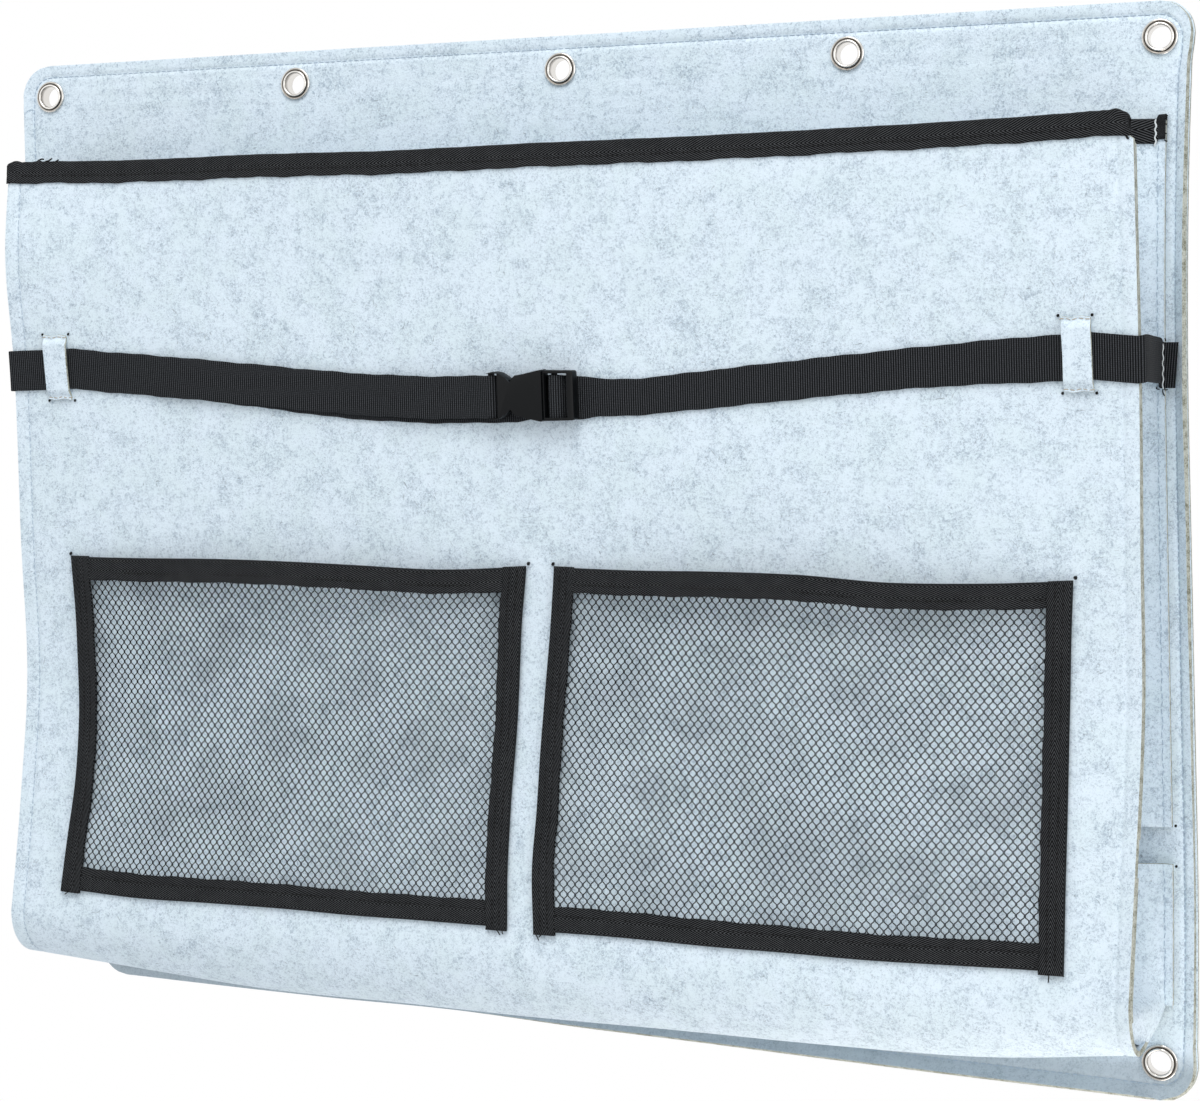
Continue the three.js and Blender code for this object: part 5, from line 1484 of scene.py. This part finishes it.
def strap_line(x):
    """The strap's middle line: a parabola between the keepers, level at the buckle, and the strap's shift."""
    level = (SOCKET_LENGTH + PLUG_LENGTH) / 2
    away = np.maximum(0, np.abs(x - MOUTH_X) - level) / (KEEPER_X - level)
    return STRAP_LINE - STRAP_SAG * np.maximum(0, 1 - away**2) + strap_shift(x)


def centripetal(points, steps):
    """A centripetal Catmull-Rom curve through points, with some steps between each two: knots are spaced by
    the square root of the distance, so it doesn't overshoot in tight bends."""
    points = np.array(points, float)
    ends = padded(points)
    f = (np.arange(steps) / steps)[:, None]
    out = []
    for i in range(len(points) - 1):
        p0, p1, p2, p3 = ends[i : i + 4]
        d0, d1, d2 = [math.sqrt(np.linalg.norm(b - a)) for a, b in ((p0, p1), (p1, p2), (p2, p3))]
        t1 = ((p1 - p0) / d0 - (p2 - p0) / (d0 + d1) + (p2 - p1) / d1) * d1
        t2 = ((p2 - p1) / d1 - (p3 - p1) / (d1 + d2) + (p3 - p2) / d2) * d1
        c2 = 3 * (p2 - p1) - 2 * t1 - t2
        c3 = 2 * (p1 - p2) + t1 + t2
        out.append(p1 + t1 * f + c2 * f * f + c3 * f**3)
    return np.concatenate(out + [points[-1:]])


def refined(route, step):
    """Points along a route, about a step apart."""
    run = run_along(route)
    at = np.linspace(0, run[-1], int(run[-1] / step) + 2)
    return along_path(route, run, at), at


ACROSS = np.array([-0.5, -0.485, -0.45, -0.3, -0.1, 0.1, 0.3, 0.45, 0.485, 0.5])


def webbing_mesh(name, rows, run, outward):
    """A strip of webbing, from rows of places across its width. Its selvedges are thinner, and outward is -1
    where its rows run against the others'."""
    thick = WEBBING / 2 * np.where(np.abs(ACROSS) > 0.49, 0.6, 1)
    uv = uv_grid(run, ACROSS * STRAP_WIDTH)
    return cloth_solid(name, rows[::outward], thick, -thick, uv=uv[::outward])


DROP_RUN = 0.02
DROP_FADE = 0.12


def front_webbing(name, node, route, body, tail_drop=0):
    """Webbing along the front: the route gives x and how far its middle is out from the front sheet. Behind
    the socket it lies lower by tail_drop, which fades out towards its free end."""
    path, run = refined(centripetal(np.array(route), 24), 0.0015)
    x, out = path.T
    rows = []
    for w in ACROSS:
        z = strap_line(x) + w * strap_width(x)
        behind = soft_ramp(np.clip((MOUTH_X - x) / DROP_RUN, 0, 1))
        z = z - tail_drop * behind * soft_ramp(np.clip((x - TAIL_END) / DROP_FADE, 0, 1))
        z = z + 0.0002 * np.sin(x * 140 + 1) + 0.00015 * np.sin(x * 333)
        bow = 0.0004 * np.cos(w * math.pi) * np.sin(x * 23 + 0.8)
        rows.append(np.stack([x, front_face(x, z) - out - np.maximum(0, bow), z], -1))
    mesh = webbing_mesh(name, np.stack(rows, 1), run, 1)
    piece = link(name, mesh, body, "webbing", webbing, webbing)
    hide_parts(node)


BUCKLE_WALL = 0.0015
STRAP_BAR = 0.0026
STRAP_SLOT = 0.0042
TAIL_END = MOUTH_X - 0.255
LAP_END = SOCKET_END - 0.060
STEP_RUN = 0.016
BAR_RUN = 0.014
SLOT_BEND = 0.0006
BAR_BEND = 0.0009
over_bar = BUCKLE_OUT + BUCKLE_THICKNESS / 2 - BUCKLE_WALL
slot_x = SOCKET_END + STRAP_BAR + STRAP_SLOT / 2
over_tail = LAP_OUT + GAP / 2
over_lap = COVER_OUT + GAP
left_route = [
    (-KEEPER_X, TAIL_OUT),
    ((TAIL_END - KEEPER_X) / 2, TAIL_OUT),
    (TAIL_END - STEP_RUN, TAIL_OUT + 0.35 * (over_tail - TAIL_OUT)),
    (TAIL_END - WEBBING, over_tail),
    ((TAIL_END + LAP_END) / 2, over_tail),
    (LAP_END - WEBBING - STEP_RUN, over_tail),
    (LAP_END - WEBBING, over_lap),
    ((LAP_END + SOCKET_END) / 2, over_lap),
    (SOCKET_END - BAR_RUN, over_lap + BAR_BEND),
    (SOCKET_END - WEBBING, over_bar - GAP),
    (SOCKET_END + STRAP_BAR / 2, over_bar),
    (slot_x - SLOT_BEND, over_bar - BAR_BEND),
    (slot_x, (over_bar + LAP_OUT) / 2),
    (slot_x - SLOT_BEND, LAP_OUT + BAR_BEND),
    (SOCKET_END, LAP_OUT),
    (SOCKET_END - BAR_RUN, LAP_OUT),
    (LAP_END, LAP_OUT),
]
front_webbing("strap_left_webbing", "strap_left", left_route, "front")

PLUG_NECK = 0.0012
NEAR_SLOT = 0.0035
MIDDLE_BAR = 0.0033
MIDDLE_BAR_BACK = 0.0018
MIDDLE_BAR_THICKNESS = 0.0022
END_BAR = 0.004
over_middle = BUCKLE_OUT - MIDDLE_BAR_BACK + MIDDLE_BAR_THICKNESS + GAP + WEBBING / 2
near_slot = MOUTH_X + PLUG_NECK + NEAR_SLOT / 2
middle_bar = MOUTH_X + PLUG_NECK + NEAR_SLOT
plug_end = MOUTH_X + PLUG_LENGTH
far_slot = 0.7 * (middle_bar + MIDDLE_BAR) + 0.3 * (plug_end - END_BAR)
right_route = [
    (TAIL_END, TAIL_OUT),
    (MOUTH_X - 0.1275, TAIL_OUT),
    (MOUTH_X - BAR_RUN, TAIL_OUT),
    (MOUTH_X, TAIL_OUT),
    (near_slot - SLOT_BEND, TAIL_OUT + BAR_BEND),
    (near_slot, 0.45 * TAIL_OUT + 0.55 * over_middle),
    (near_slot + SLOT_BEND, over_middle - BAR_BEND),
    (middle_bar, over_middle),
    (middle_bar + MIDDLE_BAR, over_middle),
    (far_slot, over_middle - BAR_BEND),
    (plug_end - END_BAR - BAR_BEND, TAIL_OUT + BAR_BEND),
    (plug_end - END_BAR / 2, TAIL_OUT + GAP),
    (plug_end + BAR_RUN / 2, TAIL_OUT),
    (0.65 * plug_end + 0.35 * KEEPER_X, TAIL_OUT),
    (0.32 * plug_end + 0.68 * KEEPER_X, TAIL_OUT),
    (KEEPER_X, TAIL_OUT),
]
front_webbing("strap_right_webbing", "strap_right", right_route, "plug", 0.0024)


SEWN_DROP = 0.0024
BOW_FOLLOWED = 0.4


def side_webbing(name, node, side):
    """The webbing from under a keeper, round the front sheet's edge and back to the panel."""
    edge = FRONT_WIDTH / 2
    start = KEEPER_X + GAP
    outside = edge + GAP + WEBBING / 2
    heights = STRAP_LINE + ACROSS * STRAP_WIDTH
    columns = []
    for z in heights:
        def front(x):
            return float(front_face(np.array(side * x), np.array(z)))

        back = float(panel_front(np.array(side * BACK_SEAM), np.array(z)))
        over_flange = back - float(seam_gap(np.array(z))) - FELT - SEAT - WEBBING / 2
        places = [
            (start, front(start) - TAIL_OUT),
            ((start + edge) / 2, front((start + edge) / 2) - TAIL_OUT),
            (edge - WEBBING, front(edge) - TAIL_OUT),
            (outside + WEBBING, front(edge) - SEAT),
            (outside + 2 * WEBBING, front(edge) + FELT),
            (outside + WEBBING, (front(edge) + over_flange) / 2),
            (outside + SEAT, over_flange - 0.004),
            (BACK_SEAM + 0.0014, over_flange),
            (BACK_SEAM + 0.0085 + WEBBING, over_flange),
        ]
        path = centripetal([(side * x, y) for x, y in places], 14)
        station = np.arange(len(path))
        pulled = strap_shift(path[:, 0]) * np.interp(station, (0, 28, 56), (1, 1, 0))
        sewn = np.interp(station, (80, 100), (0, 1))
        bowed = BOW_FOLLOWED * border_bow(side * BACK_SEAM, z)
        path[:, 0] -= side * sewn * (bowed - 0.08 * (z - STRAP_LINE))
        columns.append(np.stack([path[:, 0], path[:, 1], z + pulled - sewn * SEWN_DROP], -1))
    rows = np.stack(columns, 1)
    mesh = webbing_mesh(name, rows, run_along(rows[:, 4]), side)
    piece = link(name, mesh, None, "webbing", webbing, webbing)
    gusset_follows(piece, side)
    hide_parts(node)

    # The white thread that sews its end down, and the yarns that come loose there.
    thread_z = STRAP_LINE - SEWN_DROP + np.linspace(0.5, -0.5, 40) * (STRAP_WIDTH + 0.0010)
    sewn_x = side * (BACK_SEAM + 0.0024) - side * BOW_FOLLOWED * border_bow(side * BACK_SEAM, thread_z)
    sewn_y = panel_front(sewn_x, thread_z) - seam_gap(thread_z) - FELT - SEAT - WEBBING - 0.0003
    thread = np.stack([sewn_x + 0.0003 * np.sin(thread_z * 1100), sewn_y, thread_z], -1)
    thread_tubes(name.replace("webbing", "seam"), thread[None], 0.0008, seam_thread, "panel", "webbing")
    low, high = thread[-1], thread[0]
    thread_ends(
        name.replace("webbing", "frays"),
        [low, low + (0.0005 * side, 0, 0.0005), high + (0.0015 * side, 0, 0), low - (0.002 * side, 0, 0)],
        [(-0.7 * side, 0, -0.9), (0.2 * side, 0, -1), (0.6 * side, 0, 0.8), (-0.8 * side, 0, -0.5)],
        [0.0045, 0.003, 0.002, 0.0032],
        0.0007, black_thread, "panel", "webbing", 47 + side,
    )


side_webbing("strap_side_left_webbing", "strap_side_left", -1)
side_webbing("strap_side_right_webbing", "strap_side_right", 1)


# Strap keepers.
# Two short felt loops over the strap near its ends, each sewn down above and below it with undyed thread,
# with black knots at their corners.
KEEPER_WIDTH = 0.0165
KEEPER_HEIGHT = 0.040
KEEPER_FELT = 0.002
KEEPER_SEWN = KEEPER_HEIGHT / 2 - 0.0017
KEEPER_CLEAR = STRAP_WIDTH / 2 + 0.002
KEEPER_RISE = {-1: 0.0020, 1: 0.0023}
KEEPER_SKEW = {-1: -0.0022, 1: -0.0017}
KEEPER_STITCH = (0.0030, 0.0005, 0.0006)
tan_thread = Finish("undyed thread", {"Base Color": srgb(176, 166, 150), "Roughness": 0.6})


def keeper(name, node, side):
    """A strip of felt that rises over the strap with a smooth step on each side of it."""
    u, v = np.linspace(-0.5, 0.5, 15), np.linspace(-0.5, 0.5, 61)
    across, up = np.meshgrid(u, v * KEEPER_HEIGHT, indexing="ij")
    past = np.clip((np.abs(up) - KEEPER_CLEAR + 0.0008) / (KEEPER_SEWN - KEEPER_CLEAR), 0, 1)
    past = past * past * (3 - 2 * past)
    raised = SEAT + WEBBING + 2 * GAP + KEEPER_FELT / 2
    out = raised + (SEAT + KEEPER_FELT / 2 - raised) * past
    pinch = 0.0005 * np.exp(-(((np.abs(up) - KEEPER_SEWN) / 0.0012) ** 2))
    lean = 0.0005 * np.sin(up * 60 + side) + KEEPER_SKEW[side] * (up / KEEPER_HEIGHT)
    x = side * KEEPER_X + across * KEEPER_WIDTH * (1 - 0.03 * np.cos(up * 70)) + lean
    middle = STRAP_LINE + KEEPER_RISE[side]
    z = middle + up + 0.0004 * np.sin(across * 9)
    mesh = cloth_solid(name, on_front(x, z, out), KEEPER_FELT / 2 - pinch, -KEEPER_FELT / 2)
    piece = link(name, mesh, "front", "felt", felt, cut_edge)
    bevelled(piece, 0.0005)
    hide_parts(node)
    corner_x, corner_z = [], []
    for end, label in ((1, "top"), (-1, "bottom")):
        skew = KEEPER_SKEW[side] * end / 2
        seam_x = side * KEEPER_X + skew + np.linspace(-0.5, 0.5, 9) * (KEEPER_WIDTH + 0.0012)
        seam_z = middle + end * (KEEPER_SEWN + 0.0004) + 0.0003 * np.sin(seam_x * 700)
        seam = on_front(seam_x, seam_z, KEEPER_FELT + SEAT - 0.0005)
        row = name.replace("felt", f"{label}_seam")
        stitches(row, seam, TO_FRONT, KEEPER_STITCH, tan_thread, "front", "felt", 0.0005)
        corner_x += [seam_x[0] - 0.0004, seam_x[-1] + 0.0004]
        corner_z += [middle + end * (KEEPER_HEIGHT / 2 + 0.0006)] * 2
    corners = on_front(corner_x, corner_z, 0.0002)
    knots(name.replace("felt", "knots"), corners, 0.0021, black_thread, "front", "felt")


keeper("keeper_left_felt", "keeper_left", -1)
keeper("keeper_right_felt", "keeper_right", 1)


# Side-release buckle.
# Socket, plug and the plug's two prongs, moulded in black acetal with a fine matt texture. Their edges are
# rounded, as a mould leaves them.
def plastic_finish():
    """Matt black acetal with a fine moulded grain and a few rubbed places."""
    finish = Finish("black acetal", {"Base Color": srgb(9, 11, 13), "Specular IOR Level": 0.16})
    place = finish.place()
    grain = finish.noise(place, 2800, 2, 0.5)
    rubbed = finish.noise(place, 180, 3, 0.6)
    finish.set({"Roughness": 0.38 + rubbed.bend(0.3, 0.8) * 0.14})
    finish.bump(grain, 0.00006)
    return finish


acetal = plastic_finish()


def moulded(name, node, body, rounding):
    """A CAD solid's copy, with its triangles merged and its flat faces joined, so that its edges round."""
    shape = bmesh.new()
    shape.from_mesh(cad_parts[node].data)
    bmesh.ops.remove_doubles(shape, verts=shape.verts[:], dist=1e-6)
    bmesh.ops.dissolve_limit(shape, angle_limit=math.radians(1), verts=shape.verts[:], edges=shape.edges[:])
    mesh = bpy.data.meshes.new(name)
    shape.to_mesh(mesh)
    shape.free()
    mesh.materials.clear()
    mesh.polygons.foreach_set("material_index", np.zeros(len(mesh.polygons), np.int32))
    mesh.polygons.foreach_set("use_smooth", np.ones(len(mesh.polygons), bool))
    piece = link(name, mesh, body, "buckle_plastic", acetal)
    bevel = bevelled(piece, rounding)
    bevel.angle_limit = math.radians(35)
    bevel.harden_normals = True
    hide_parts(node)


moulded("buckle_socket_shell", "buckle_socket", "front", 0.00045)
moulded("buckle_plug_frame", "buckle_plug", "plug", 0.00035)
moulded("buckle_prong_upper_arm", "buckle_prong_upper", "prong_upper", 0.0003)
moulded("buckle_prong_lower_arm", "buckle_prong_lower", "prong_lower", 0.0003)
